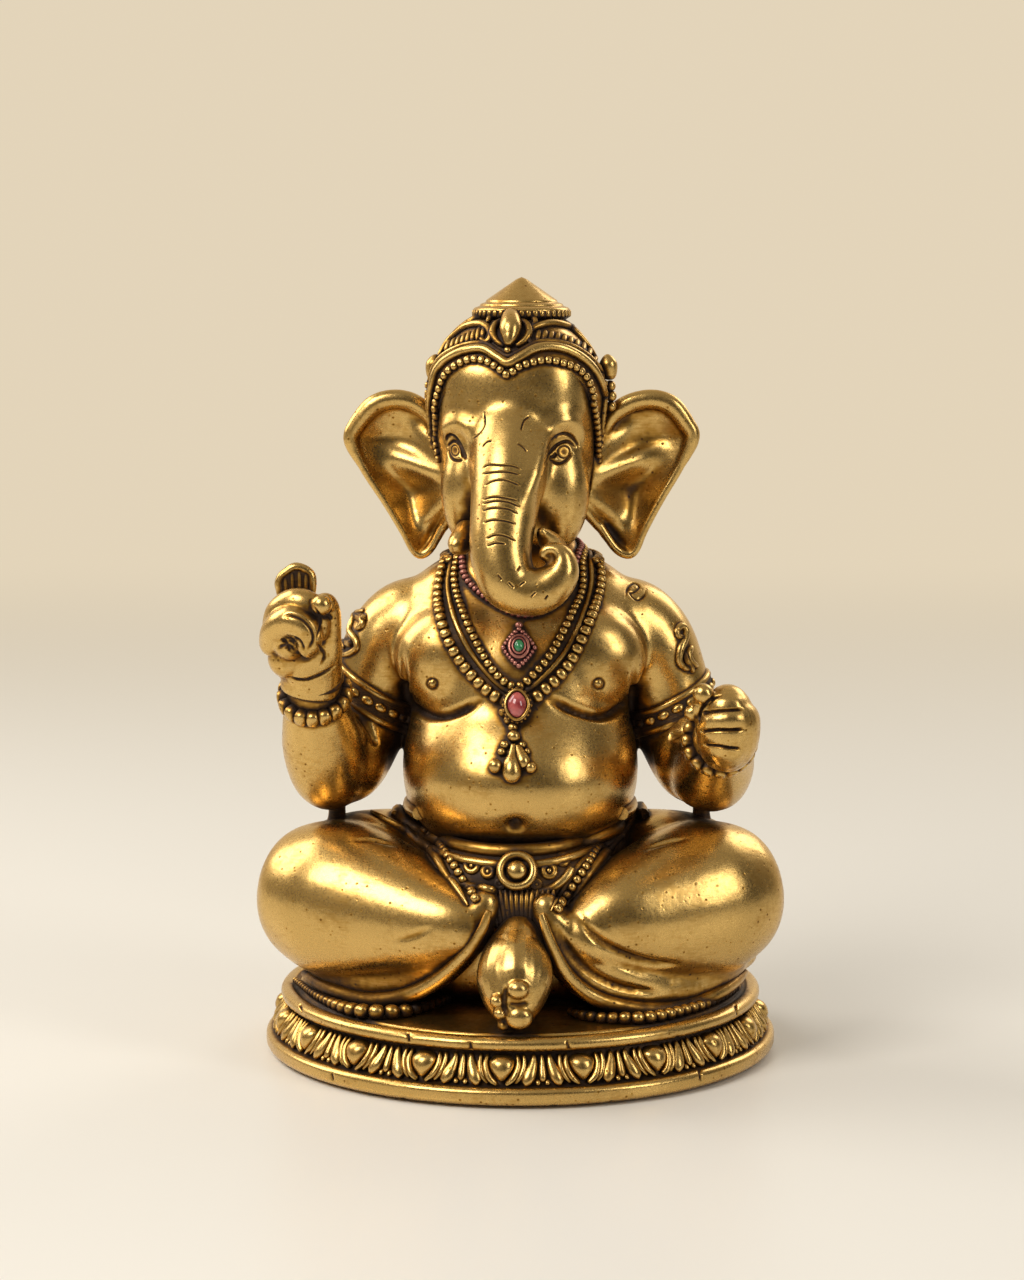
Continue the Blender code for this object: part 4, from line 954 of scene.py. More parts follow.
def make_crown(head):
    dome = level_body(CAP, segments=72, rings=60, power=2.2, turn_by=HEAD_TURN, middle_x=HEAD_MIDDLE,
                      end=0.03)
    take(dome)
    bpy.ops.object.mode_set(mode="EDIT")
    bpy.ops.mesh.select_all(action="SELECT")
    bpy.ops.mesh.bisect(plane_co=FACE_EDGE_POINT, plane_no=FACE_EDGE_NORMAL, clear_outer=True,
                        use_fill=True)
    bpy.ops.object.mode_set(mode="OBJECT")
    in_fixed_order(dome)
    tree = tree_of(dome, head)
    parts = [dome]
    for line in ARCHES:
        path = line_on(tree, line, lift=0.25, step=0.4)
        parts.append(tube("arch", path, tapered(len(path), radius=0.8, tip=0.5), sides=8))
    for line in FLUTES:
        path = line_on(tree, line, lift=0.1, step=0.4)
        parts.append(tube("flute", path, tapered(len(path), radius=0.62, tip=0.5), sides=8))
    for line in OUTER_BEADS:
        parts.append(beads("outer_beads", tree, line_on(tree, line, lift=0, step=1.5), sizes=0.75))
    shell = tree_of(dome)
    rows = [round_back(shell, z, count=64) for z in NAPE_ROWS]
    parts.append(beads("nape_beads", shell, even_path(rows[0], step=1.6), sizes=0.85))
    for row in rows[1:]:
        parts.append(tube("nape_roll", even_path(row, step=0.8), radius=0.7, sides=8))
    for low, high in zip(even_path(rows[1], step=2.2), even_path(rows[2], step=2.2)):
        parts.append(tube("nape_flute", even_path([low, (low + high) / 2, high], step=0.6), radius=0.6,
                          sides=8))
    cap = join("cast_crown", parts)
    rolls = [line_on(tree, BROW_ROLL, lift=0.35, step=0.45), line_on(tree, BROW_LINE, lift=0.2, step=0.45)]
    band = join("cast_brow_band", [
        tube("brow_roll", rolls[0], tapered(len(rolls[0]), radius=1.0, tip=0.3), sides=12),
        tube("brow_line", rolls[1], tapered(len(rolls[1]), radius=0.6, tip=0.3), sides=10),
        beads("temple_beads", tree, line_on(tree, TEMPLE_BEADS, lift=0, step=BEAD_STEP), BEAD_SIZE,
              squareness=3.0),
    ])
    bud = [(*seen_on(tree, px, py, JEWEL_LIFT), r) for px, py, r in JEWEL_BUD]
    jewel = [limb(bud, across=(1, 0, 0), end=0.1)]
    for line in JEWEL_LEAVES:
        path = line_on(tree, line, lift=0.4, step=0.3)
        jewel.append(tube("leaf", path, tapered(len(path), radius=0.75, tip=0.4), sides=8))
    jewel.append(bead(seen_on(tree, *JEWEL_FOOT, lift=0.5), JEWEL_FOOT_RADIUS))
    jewel = join("cast_jewel", jewel)
    rosettes = {}
    for side, bud, balls in ROSETTES:
        stations = [(*at_depth(px, py, ROSETTE_Y), r) for px, py, r in bud]
        made = [limb(stations, across=(1, 0, 0), end=0.3)]
        made += [bead(at_depth(px, py, ROSETTE_Y), r) for px, py, r in balls]
        rosettes[side] = join(f"cast_{side}_rosette", made)
    return cap, band, jewel, rosettes


FINIAL_MIDDLE = (0.2, -1.0)
FINIAL = (
    (0.0, TIP), (0.9, TIP - 0.35), (6.8, TIP - 4.4), (6.9, TIP - 4.8), (7.9, TIP - 5.1), (8.0, TIP - 5.5),
    (9.0, TIP - 5.8), (9.3, TIP - 6.2), (9.3, TIP - 7.6), (8.6, TIP - 8.0), (8.2, TIP - 8.4),
    (8.2, TIP - 11.0), (0.0, TIP - 11.0),
)
FINIAL_NOTCHES = 44
NOTCH_RADIUS = 9.1
NOTCH_HEIGHT = TIP - 6.9
NOTCH_WIDE, NOTCH_TALL, NOTCH_DEEP = 0.5, 0.7, 0.42


def make_finial():
    cone = turned("finial", rounded(FINIAL, radius=0.35), steps=96)
    frames = []
    for turn in np.linspace(0, 2 * math.pi, FINIAL_NOTCHES, endpoint=False):
        out = np.array([math.cos(turn), math.sin(turn), 0])
        side = np.array([-math.sin(turn), math.cos(turn), 0])
        axes = [side * NOTCH_WIDE, (0, 0, NOTCH_TALL), out * NOTCH_DEEP]
        frames.append((out * NOTCH_RADIUS + (0, 0, NOTCH_HEIGHT), axes))
    ticks = stamp("finial_ticks", bead_pattern(squareness=3.5), frames)
    obj = join("cast_finial", [cone, ticks])
    points = get_points(obj)
    points[:, :2] += FINIAL_MIDDLE
    set_points(obj, points)
    return obj


# Hands

RAISED_PALM = (
    (309, 694, -21.5, 4.8), (311, 674, -22.5, 5.1), (306, 652, -23.8, 6.0), (303, 629, -24.6, 5.3),
    (303, 613, -24.6, 3.0),
)
RAISED_FINGERS = (
    ((273, 634, -25.0, 2.2), (279, 613, -28.0, 2.6), (295, 603, -30.0, 2.8), (311, 608, -30.8, 2.7),
     (318, 624, -30.2, 2.4), (314, 640, -30.0, 2.0)),
    ((272, 652, -26.0, 2.4), (276, 632, -29.4, 2.9), (290, 621, -32.0, 3.0), (305, 628, -33.0, 2.8),
     (309, 643, -32.6, 2.4), (301, 652, -32.0, 1.8)),
)
RAISED_FIST_MIDDLE = (290.0, 643.0, -29.6, 3.2)
RAISED_HEEL = (288.0, 658.0, -26.0, 3.8)
RAISED_THUMB = (
    (323, 678, -23.5, 2.4), (327, 656, -25.2, 2.6), (328, 634, -27.0, 2.5), (328, 614, -28.6, 2.4),
    (326, 604, -30.2, 2.1), (322, 605, -32.2, 1.9),
)
RAISED_THUMB_TIP = (321.5, 605.0, -33.8, 1.95)
RAISED_CREASES = (
    ((277, 648), (283, 645), (289, 645), (296, 650)),
    ((281, 639), (286, 642), (291, 652)),
    ((290, 636), (299, 640), (303, 647), (304, 651)),
    ((282, 618), (290, 615), (303, 620), (312, 631), (313, 641), (306, 652)),
    ((312, 605), (319, 616), (320, 627), (316, 641)),
    ((316, 641), (321, 648), (325, 655), (320, 668)),
    ((322, 618), (329, 616), (332, 620)),
    ((285, 676), (303, 680), (320, 675), (338, 664)),
)
THUMB_TIP_PX = 11.0
THUMB_TIP_ARC = slice(1, 10)
LEVEL_PALM = ((724, 752, -27.5, 4.6), (727, 742, -30.0, 5.6), (728, 730, -31.4, 6.0),
              (727, 716, -32.2, 5.8), (724, 702, -32.0, 3.6))
LEVEL_FIST = (727.5, 727.0, -31.6, 5.4, 6.2, 8.0)
LEVEL_FINGERS = (
    ((703, 704), (715, 702), (732, 701), (746, 706)),
    ((701, 721), (715, 720), (732, 719), (749, 721)),
    ((702, 738), (715, 738), (732, 738), (748, 739)),
    ((706, 754), (718, 756), (732, 757), (744, 755)),
)
LEVEL_THUMB_BALLS = ((703.0, 694.0, -33.6, 2.0), (692.0, 713.0, -32.0, 1.5), (705.0, 706.0, -32.0, 2.6),
                     (699.0, 712.0, -31.5, 1.8))
LEVEL_GROOVES = (
    ((700, 713), (716, 711), (731, 710), (744, 709)),
    ((700, 732), (716, 730), (731, 730), (745, 729)),
    ((703, 745), (716, 746), (730, 748), (742, 749)),
)
LEVEL_THUMB_LINE = ((699, 724), (700, 714), (704, 706), (712, 699), (722, 695))
EMBLEM = (
    (280, 589), (279, 583), (282, 576), (288, 571), (295, 567), (304, 569), (311, 575), (312, 585),
    (310, 596), (304, 602), (286, 602), (282, 597),
)
EMBLEM_Y = -24.5
EMBLEM_RIB_Y = EMBLEM_Y - 0.6
EMBLEM_RIBS = ((285, 578, 287, 597), (292, 573, 293, 598), (299, 571, 300, 598), (306, 574, 306, 596))


def make_raised_hand():
    parts = [limb(from_pixels(RAISED_PALM), across=(1, 0, 0), flat=1.15)]
    for finger in RAISED_FINGERS:
        parts.append(limb(from_pixels(finger), across=(0, 0, 1), end=0.2))
    parts.append(limb(from_pixels(RAISED_THUMB), across=(0, 1, 0), end=0.2))
    for px, py, y, r in (RAISED_FIST_MIDDLE, RAISED_HEEL, RAISED_THUMB_TIP):
        parts.append(bead(at_depth(px, py, y), r))
    hand = cast("cast_right_hand", parts, voxel=0.26, passes=5)
    tree = tree_of(hand)
    lines = [line_on(tree, p, step=0.2) for p in RAISED_CREASES]
    lines.append(line_on(tree, circle_px(RAISED_THUMB_TIP[:2], THUMB_TIP_PX)[THUMB_TIP_ARC], step=0.2))
    refine(hand, lines, reach=1.2)
    carve(hand, lines, width=0.32, depth=0.4, ends=0.2, ink=0.8)
    return hand


def make_level_hand():
    parts = [limb(from_pixels(LEVEL_PALM), across=(1, 0, 0))]
    px, py, y, *half = LEVEL_FIST
    parts.append(ball(at_depth(px, py, y), half))
    for px, py, y, r in LEVEL_THUMB_BALLS:
        parts.append(bead(at_depth(px, py, y), r))
    hand = cast("cast_left_hand", parts, voxel=0.26, passes=5)
    tree = tree_of(hand)
    carve(hand, [line_on(tree, p, step=0.3) for p in LEVEL_FINGERS], width=1.3, depth=-0.3, ends=0.2)
    tree = tree_of(hand)
    lines = [line_on(tree, p, step=0.2) for p in (*LEVEL_GROOVES, LEVEL_THUMB_LINE)]
    refine(hand, lines, reach=1.0)
    carve(hand, lines, width=0.26, depth=0.6, ends=0.14, ink=0.8)
    return hand


def make_emblem():
    """The bud held in the raised hand: a small shield with a rolled rim and ribs in its hollow."""
    outline = even_path([at_depth(px, py, EMBLEM_Y)[:] for px, py in (*EMBLEM, EMBLEM[0])], step=0.35)[:-1]
    rim = tube("emblem_rim", outline, radius=0.85, sides=10, closed=True)
    mesh = bpy.data.meshes.new("emblem_floor")
    mesh.from_pydata(outline.tolist(), [], [tuple(range(len(outline)))])
    floor = bpy.data.objects.new("emblem_floor", mesh)
    bpy.context.scene.collection.objects.link(floor)
    apply_modifier(floor, "SOLIDIFY", thickness=1.2, offset=0.0)
    ribs = []
    for left, top, right, foot in EMBLEM_RIBS:
        ends = [at_depth(left, top, EMBLEM_RIB_Y)[:], at_depth(right, foot, EMBLEM_RIB_Y)[:]]
        path = even_path(ends, step=0.4)
        ribs.append(tube("emblem_rib", path, tapered(len(path), radius=0.42, tip=0.6), sides=8))
    return face_outwards(join("cast_emblem", [rim, floor, *ribs]))


# Jewellery

OUTER_STRAND = (
    (447, 555), (440, 582), (439, 604), (444, 629), (454, 651), (468, 670), (484, 687), (500, 699),
    (516, 704), (532, 700), (544, 690), (559, 676), (573, 657), (584, 634), (594, 609), (600, 582),
    (598, 557),
)
SMOOTH_STRAND = (
    (452, 562), (448, 582), (450, 601), (457, 626), (470, 651), (487, 673), (503, 688), (516, 694),
    (527, 690), (538, 682), (555, 665), (571, 643), (584, 612), (591, 584), (590, 560),
)
INNER_STRAND = (
    (458, 560), (455, 579), (459, 601), (468, 626), (479, 648), (493, 670), (506, 683), (515, 687),
    (523, 685), (535, 673), (549, 657), (563, 634), (576, 607), (582, 588), (581, 562),
)
CHOKER = (
    (463, 560), (465, 576), (476, 590), (490, 601), (507, 611), (523, 616), (540, 613), (556, 604),
    (568, 590), (574, 566),
)
OUTER_SIZES = ((57, 66, 80, 90), (1.22, 1.1, 0.92, 0.85))
INNER_SIZES = ((57, 66, 90), (1.0, 0.85, 0.72))
BEAD_PITCH = 1.75
STRAND_BACKS = {"outer": 84.0, "smooth": 85.2, "inner": 86.2, "choker": 87.2}
NECK_AXIS = (0.0, 1.0)
BEHIND_NECK = np.linspace(0.06, 0.94, 22)
CORD_RADIUS = 0.62
CHOKER_RADIUS = 0.55
BROOCH = (519.0, 649.0)
BROOCH_TOP = (519.0, 627.0)
BROOCH_TOP_RADIUS = 0.7
BROOCH_HALF = (2.9, 3.7)
BROOCH_SQUARENESS = 1.15
BROOCH_RING_HALF = (1.75, 2.15)
BROOCH_CUP_HALF = (1.15, 1.5)
BROOCH_STONE_HALF = (0.98, 1.35)
BROOCH_PEARL = (0.52, 0.52, 0.5)
PENDANT = (517.0, 706.0)
PENDANT_HALF = (1.95, 2.7)
PENDANT_SQUARENESS = 1.7
PENDANT_CUP = 0.2
PENDANT_EDGE = 0.3
PENDANT_PEARL = (0.42, 0.42, 0.5)
DROP_LIFT = 0.5
BALL_LIFT_SHARE = 0.45
DROP_BALLS = (
    (504, 713, 0.95), (509, 721, 1.0), (513, 729, 0.9), (514, 738, 1.2), (505, 746, 0.85), (502, 753, 0.8),
    (496, 767, 1.35), (522, 746, 0.75), (527, 752, 0.6), (530, 768, 1.1),
)
DROPS = (
    ((514, 745, 0.6), (513, 755, 0.9), (512, 766, 1.7), (512, 776, 1.7), (512, 783, 0.7)),
    ((517, 746, 0.5), (520, 754, 1.0), (523, 763, 1.35), (525, 769, 0.8)),
)


def ring_path(tree, front, back_height, step):
    """A closed run: over the chest where the photo shows it, then round behind the neck."""
    shown = [seen_on(tree, x, y) for x, y in spline(front, np.linspace(0, 1, 6 * len(front)))]
    first, last = shown[-1], shown[0]
    start = math.atan2(first.y - NECK_AXIS[1], first.x - NECK_AXIS[0])
    stop = math.atan2(last.y - NECK_AXIS[1], last.x - NECK_AXIS[0]) % (2 * math.pi)
    points = [p[:] for p in shown]
    for share in BEHIND_NECK:
        turn = start + (stop - start) * share
        z = first.z + (last.z - first.z) * share
        z += (back_height - z) * math.sin(math.pi * share) ** 0.5
        hit, _, _, _ = tree.ray_cast(Vector((*NECK_AXIS, z)), Vector((math.cos(turn), math.sin(turn), 0)))
        points.append(hit[:])
    points.append(points[0])
    return even_path(points, step)[:-1]


def strung(path, sizes_by_height):
    """Places and sizes of beads that touch one another along a closed path."""
    run = np.concatenate([[0], np.cumsum(np.linalg.norm(np.diff(path, axis=0), axis=1))])
    places, sizes, at = [], [], 0.0
    while at < run[-1]:
        place = np.array([np.interp(at, run, path[:, i]) for i in range(3)])
        places.append(place)
        sizes.append(np.interp(place[2], *sizes_by_height))
        at += BEAD_PITCH * sizes[-1]
    return np.array(places), np.array(sizes)


def facing(tree, px, py, skin=None):
    """Place and axes of an ornament on a surface: right, up and outwards from the skin below."""
    place = seen_on(tree, px, py)
    _, normal, _, _ = (skin or tree).find_nearest(place)
    right = Vector((0, 0, 1)).cross(normal).normalized()
    return place, right, normal.cross(right), normal


def loop_on(spot, half, lift, count, power=2.0):
    place, right, up, out = spot
    points = []
    for turn in np.linspace(0, 2 * math.pi, count, endpoint=False):
        c, s = math.cos(turn), math.sin(turn)
        size = (abs(c) ** power + abs(s) ** power) ** (-1 / power)
        points.append(place + right * (half[0] * c * size) + up * (half[1] * s * size) + out * lift)
    return np.array([p[:] for p in points])


def pearls_on(name, spot, places, sizes):
    """Small pearls round an ornament, all turned the way it faces."""
    axes = [axis * size for axis, size in zip(spot[1:], sizes)]
    return stamp(name, bead_pattern(), [(place, axes) for place in places])


def gem(name, spot, half, height, lift, squareness):
    place, right, up, out = spot
    frames = [(place + out * lift, [right * half[0], up * half[1], out * height])]
    obj = stamp(name, bead_pattern(squareness), frames)
    apply_modifier(obj, "SUBSURF", levels=2)
    return obj


def make_strands(tree):
    made = {}
    path = ring_path(tree, OUTER_STRAND, STRAND_BACKS["outer"], step=0.3)
    path, sizes = strung(path, OUTER_SIZES)
    made["outer"] = beads("cast_outer_beads", tree, path, sizes, squareness=3.0, length=0.84, height=0.85)
    path = ring_path(tree, INNER_STRAND, STRAND_BACKS["inner"], step=0.3)
    path, sizes = strung(path, INNER_SIZES)
    made["inner"] = beads("cast_inner_beads", tree, path, sizes, squareness=2.6, length=0.86, height=0.95)
    path = ring_path(tree, SMOOTH_STRAND, STRAND_BACKS["smooth"], step=0.8)
    made["smooth"] = tube("cast_smooth_cord", path, CORD_RADIUS, sides=12, closed=True)
    path = ring_path(tree, CHOKER, STRAND_BACKS["choker"], step=1.15)
    made["choker"] = join("cast_choker", [
        tube("choker_band", path, CHOKER_RADIUS, sides=10, closed=True),
        beads("choker_pearls", tree, path, sizes=0.75, squareness=2.2, length=0.8, height=1.0),
    ])
    return made


def make_brooch(tree, skin):
    spot = facing(tree, *BROOCH, skin)
    plate = gem("brooch_plate", spot, BROOCH_HALF, height=1.5, lift=0.4, squareness=BROOCH_SQUARENESS)
    edge = loop_on(spot, BROOCH_HALF, lift=0.6, count=24, power=BROOCH_SQUARENESS)
    rim = pearls_on("brooch_rim", spot, edge, BROOCH_PEARL)
    ring = tube("brooch_ring", loop_on(spot, BROOCH_RING_HALF, lift=1.3, count=28), radius=0.36, sides=8,
                closed=True)
    cup = tube("brooch_cup", loop_on(spot, BROOCH_CUP_HALF, lift=1.6, count=24), radius=0.26, sides=8,
               closed=True)
    top = bead(seen_on(tree, *BROOCH_TOP, lift=0.6), BROOCH_TOP_RADIUS)
    setting = join("cast_brooch", [plate, rim, ring, cup, top])
    stone = gem("cast_brooch_stone", spot, BROOCH_STONE_HALF, height=0.9, lift=1.5, squareness=2.0)
    return setting, stone


def make_pendant(tree, skin):
    spot = facing(tree, *PENDANT, skin)
    half = [size + PENDANT_CUP for size in PENDANT_HALF]
    cup = tube("pendant_cup", loop_on(spot, half, lift=1.0, count=32, power=PENDANT_SQUARENESS),
               radius=0.36, sides=8, closed=True)
    outer = [size + PENDANT_EDGE for size in half]
    edge = loop_on(spot, outer, lift=0.5, count=20, power=PENDANT_SQUARENESS)
    pearls = pearls_on("pendant_pearls", spot, edge, PENDANT_PEARL)
    back = gem("pendant_back", spot, outer, height=0.8, lift=0.3, squareness=2.0)
    setting = join("cast_pendant", [cup, pearls, back])
    stone = gem("cast_pendant_stone", spot, PENDANT_HALF, height=1.5, lift=1.0,
                squareness=PENDANT_SQUARENESS)
    drops = [bead(seen_on(tree, px, py, BALL_LIFT_SHARE * r), r) for px, py, r in DROP_BALLS]
    for rows in DROPS:
        stations = [(*seen_on(tree, px, py, DROP_LIFT), r) for px, py, r in rows]
        drops.append(limb(stations, across=(1, 0, 0), end=0.2))
    return setting, stone, join("cast_drops", drops)


# Armlets and bracelets

ARMLETS = {
    "right": ((376, 682), (380, 709), 1.0, (0.53, -0.1, 0.84)),
    "left": ((670, 692), (664, 715), 1.0, (-0.45, -0.1, 0.88)),
}
CRESTS = {
    "right": (
        ((364, 611), (357, 613), (353, 621), (350, 631), (356, 640), (357, 648), (350, 653), (343, 655)),
        ((361, 616), (363, 624), (357, 629)), ((346, 632), (342, 640), (345, 648)),
    ),
    "left": (
        ((683, 637), (678, 636), (677, 630), (682, 626), (686, 632), (684, 641), (680, 650), (679, 661),
         (685, 668), (692, 668)),
        ((692, 647), (688, 654), (691, 662), (697, 666)), ((685, 652), (687, 661), (693, 672)),
    ),
}
LEFT_WRIST = (723, 741, -25.0)
BRACELETS = {
    "right": ((-38.7, -19.6, 59.4), (-0.08, -0.66, 0.75), 17, 1.3, 1.25),
    "left": (tuple(at_depth(*LEFT_WRIST)), (0.0, -0.92, 0.39), 17, 1.25, 1.2),
}
CUFF = ((-38.9, -21.0, 62.6), (-0.05, -0.42, 0.9))
ARMLET_BANDS = np.linspace(0.12, 0.88, 9)
ARM_REACH = 9.2
WRIST_REACH = 7.4
CUFF_REACH = 6.5
BRACELET_LIFT = 0.8


def girdle(tree, middle, axis, count, reach=ARM_REACH):
    """Points round a limb, in the plane across the axis."""
    axis = Vector(axis).normalized()
    side = axis.cross(Vector((0, 1, 0))).normalized()
    front = axis.cross(side)
    points = []
    for turn in np.linspace(0, 2 * math.pi, count, endpoint=False):
        out = side * math.cos(turn) + front * math.sin(turn)
        hit, _, _, gap = tree.ray_cast(Vector(middle), out)
        if hit is None or gap > reach:
            hit = Vector(middle) + out * reach
        points.append(hit[:])
    points = np.array(points)
    for _ in range(2):
        points = 0.5 * points + 0.25 * (np.roll(points, 1, axis=0) + np.roll(points, -1, axis=0))
    return points


def make_armlet(name, tree, upper, lower, depth, axis):
    high, low = at_depth(*upper, depth), at_depth(*lower, depth)
    parts = [tube("edge", girdle(tree, high, axis, count=72), radius=0.75, sides=10, closed=True)]
    parts.append(tube("edge", girdle(tree, low, axis, count=72), radius=0.75, sides=10, closed=True))
    for share in ARMLET_BANDS:
        parts.append(tube("band", girdle(tree, high + (low - high) * share, axis, count=72), radius=0.6,
                          sides=8, closed=True))
    path = girdle(tree, (high + low) / 2, axis, count=18)
    parts.append(beads("relief", tree, path, sizes=0.9, squareness=2.2, length=1.5, height=0.85))
    return join(name, parts)


def make_crest(name, tree, lines):
    parts = []
    for line in lines:
        path = line_on(tree, line, lift=0.0, step=0.3)
        parts.append(tube("scroll", path, tapered(len(path), radius=0.85, tip=0.5), sides=8))
    return join(name, parts)


def make_bracelet(name, tree, middle, axis, count, size, tall):
    path = girdle(tree, middle, axis, count, WRIST_REACH)
    along = Vector(axis).normalized()
    frames = []
    for place in path:
        out = (Vector(place) - Vector(middle)).normalized()
        around = along.cross(out)
        axes = [around * size, along * size * tall, out * size]
        frames.append((Vector(place) + out * BRACELET_LIFT, axes))
    return stamp(name, bead_pattern(squareness=3.6), frames)


# Waist

BELT = ((398, 812), (409, 826), (447, 843), (486, 851), (524, 852), (563, 847), (601, 834), (632, 818),
        (641, 808))
BELT_LOW = ((404, 828), (420, 843), (450, 857), (486, 864), (524, 866), (560, 861), (598, 848), (622, 836))
BELT_BACK_MIDDLE = (0.0, -2.0, 36.0)
BELT_BACK_TURNS = (math.radians(-35), math.radians(215))
BELT_RADIUS = 1.35
CURL_RADIUS = 0.6
WAIST_FILL = ((-0.5, -18.0, 24.5), (19.5, 13.0, 8.5))
APRON_EDGE = ((452, 878), (463, 884), (486, 890), (517, 895), (547, 890), (563, 880), (571, 870))
WAIST_RINGS = ((472, 866, 6.0), (488, 872, 5.0), (549, 871, 6.0), (563, 860, 5.0), (500, 884, 4.0),
               (536, 884, 4.0))
PLEAT_COUNT = 13
PLEATS = tuple(
    ((489 + 5.4 * i, 890, -31.6), (492 + 4.9 * i, 906, -32.6), (498 + 4 * i, 928, -33.4))
    for i in range(PLEAT_COUNT)
)
BUCKLE = (517.0, 872.0)
BUCKLE_RING = 3.1
BUCKLE_BOSS = 2.1
SASHES = {
    "right": (
        ((371, 812), (397, 826), (420, 840), (435, 855), (447, 875), (460, 893), (468, 906)), 1.0,
        ((397, 806), (412, 822), (430, 832), (452, 862), (465, 882), (476, 899)),
        (),
    ),
    "left": (
        ((641, 810), (622, 833), (605, 853), (590, 872), (579, 887), (567, 906)), 1.0,
        ((630, 814), (602, 842), (585, 867), (568, 891), (557, 909)),
        ((622, 822), (595, 849), (577, 868), (561, 892), (551, 911)),
    ),
}
HEM_BEADS = {
    "right": ((296, 980, 0.7), (309, 990, 0.8), (324, 999, 1.0), (343, 1007, 1.3), (362, 1011, 1.5),
              (382, 1012, 1.55), (403, 1011, 1.4), (422, 1007, 1.2), (440, 1001, 1.0), (456, 994, 0.9)),
    "left": ((572, 1012, 0.9), (583, 1015, 1.05), (595, 1017, 1.1), (608, 1018, 1.15), (623, 1018, 1.25),
             (640, 1018, 1.3), (657, 1016, 1.25), (672, 1013, 1.2), (687, 1009, 1.15), (701, 1005, 1.1),
             (714, 1000, 1.0), (726, 994, 0.95), (736, 987, 0.9)),
}


def make_waist(body, lap):
    fill = ball(*WAIST_FILL, segments=48, rings=32)
    tree = tree_of(body, lap, fill)
    belt = [tube("belt_roll", line_on(tree, BELT, lift=0.3, step=0.5), BELT_RADIUS, sides=12)]
    belt.append(tube("belt_low", line_on(tree, BELT_LOW, lift=0.2, step=0.5), radius=0.9, sides=10))
    back = []
    skin = tree_of(body, lap)
    for turn in np.linspace(*BELT_BACK_TURNS, 60):
        out = Vector((math.cos(turn), math.sin(turn), 0))
        back.append(skin.ray_cast(Vector(BELT_BACK_MIDDLE), out)[0][:])
    belt.append(tube("belt_back", even_path(back, step=0.8), BELT_RADIUS, sides=12))
    belt = join("cast_belt", belt)
    apron = [fill, tube("apron_edge", line_on(tree, APRON_EDGE, lift=0.2, step=0.5), radius=0.9, sides=10)]
    for px, py, size in WAIST_RINGS:
        path = line_on(tree, circle_px((px, py), size), lift=0.1, step=0.4)
        apron.append(tube("curl", path, CURL_RADIUS, sides=8))
        apron.append(bead(seen_on(tree, px, py), CURL_RADIUS))
    for rows in PLEATS:
        apron.append(roll("pleat", rows, radius=0.62))
    apron = join("cast_apron", apron)
    spot = facing(tree_of(belt, apron), *BUCKLE)
    ring = tube("cast_buckle_ring", loop_on(spot, (BUCKLE_RING, BUCKLE_RING), lift=0.9, count=40),
                radius=0.8, sides=10, closed=True)
    boss = gem("cast_buckle_boss", spot, (BUCKLE_BOSS, BUCKLE_BOSS), height=1.5, lift=0.9, squareness=2.0)
    sashes = {}
    for side, (edge, radius, row, inner) in SASHES.items():
        path = line_on(tree, edge, lift=0.2, step=0.5)
        made = [tube("sash_edge", path, tapered(len(path), radius, tip=0.25), sides=10)]
        made.append(beads("sash_beads", tree, line_on(tree, row, lift=0.0, step=1.6), sizes=0.85,
                          squareness=2.8))
        if inner:
            path = line_on(tree, inner, lift=0.1, step=0.5)
            made.append(tube("sash_line", path, tapered(len(path), radius * 0.6, tip=0.3), sides=8))
        sashes[side] = join(f"cast_{side}_sash", made)
    return belt, apron, ring, boss, sashes


HEM_BEAD_RISE = 0.9
HEM_BEAD_PITCH = 1.9
HEM_PATH_STEP = 0.1
HEM_LOOK_AHEAD = 5


def make_hem_beads(name, rows):
    rows = [(*at_height(px, py, HEM_BEAD_RISE * r), r) for px, py, r in rows]
    path = even_path(rows, HEM_PATH_STEP)
    last = len(path) - 1
    frames = []
    at = 0.0
    while at < last:
        here = int(at)
        x, y, z, size = path[here]
        ahead, behind = path[min(here + HEM_LOOK_AHEAD, last)], path[max(here - HEM_LOOK_AHEAD, 0)]
        along = (Vector(ahead[:3]) - Vector(behind[:3])).normalized()
        across = Vector((0, 0, 1)).cross(along)
        axes = [along * size, across * size, Vector((0, 0, size * HEM_BEAD_RISE))]
        frames.append(((x, y, z), axes))
        at += HEM_BEAD_PITCH * size / HEM_PATH_STEP
    return stamp(name, bead_pattern(squareness=2.5), frames)


POST_WAIST = 0.85
POST_ROWS = ((0.0, 1.0), (0.3, POST_WAIST), (0.7, POST_WAIST), (1.0, 1.0))


def make_post(name, node):
    low, high = (np.array(c) / MM - (0, 0, SEAT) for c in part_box(node))
    middle, half = (low + high) / 2, (high - low) / 2
    radius = min(half[0], half[1])
    rows = [(middle[0], middle[1], low[2] * (1 - share) + high[2] * share, radius * size)
            for share, size in POST_ROWS]
    return cast(name, [limb(rows, across=(0, 1, 0), end=0.1)], voxel=0.25, passes=2)


# Base

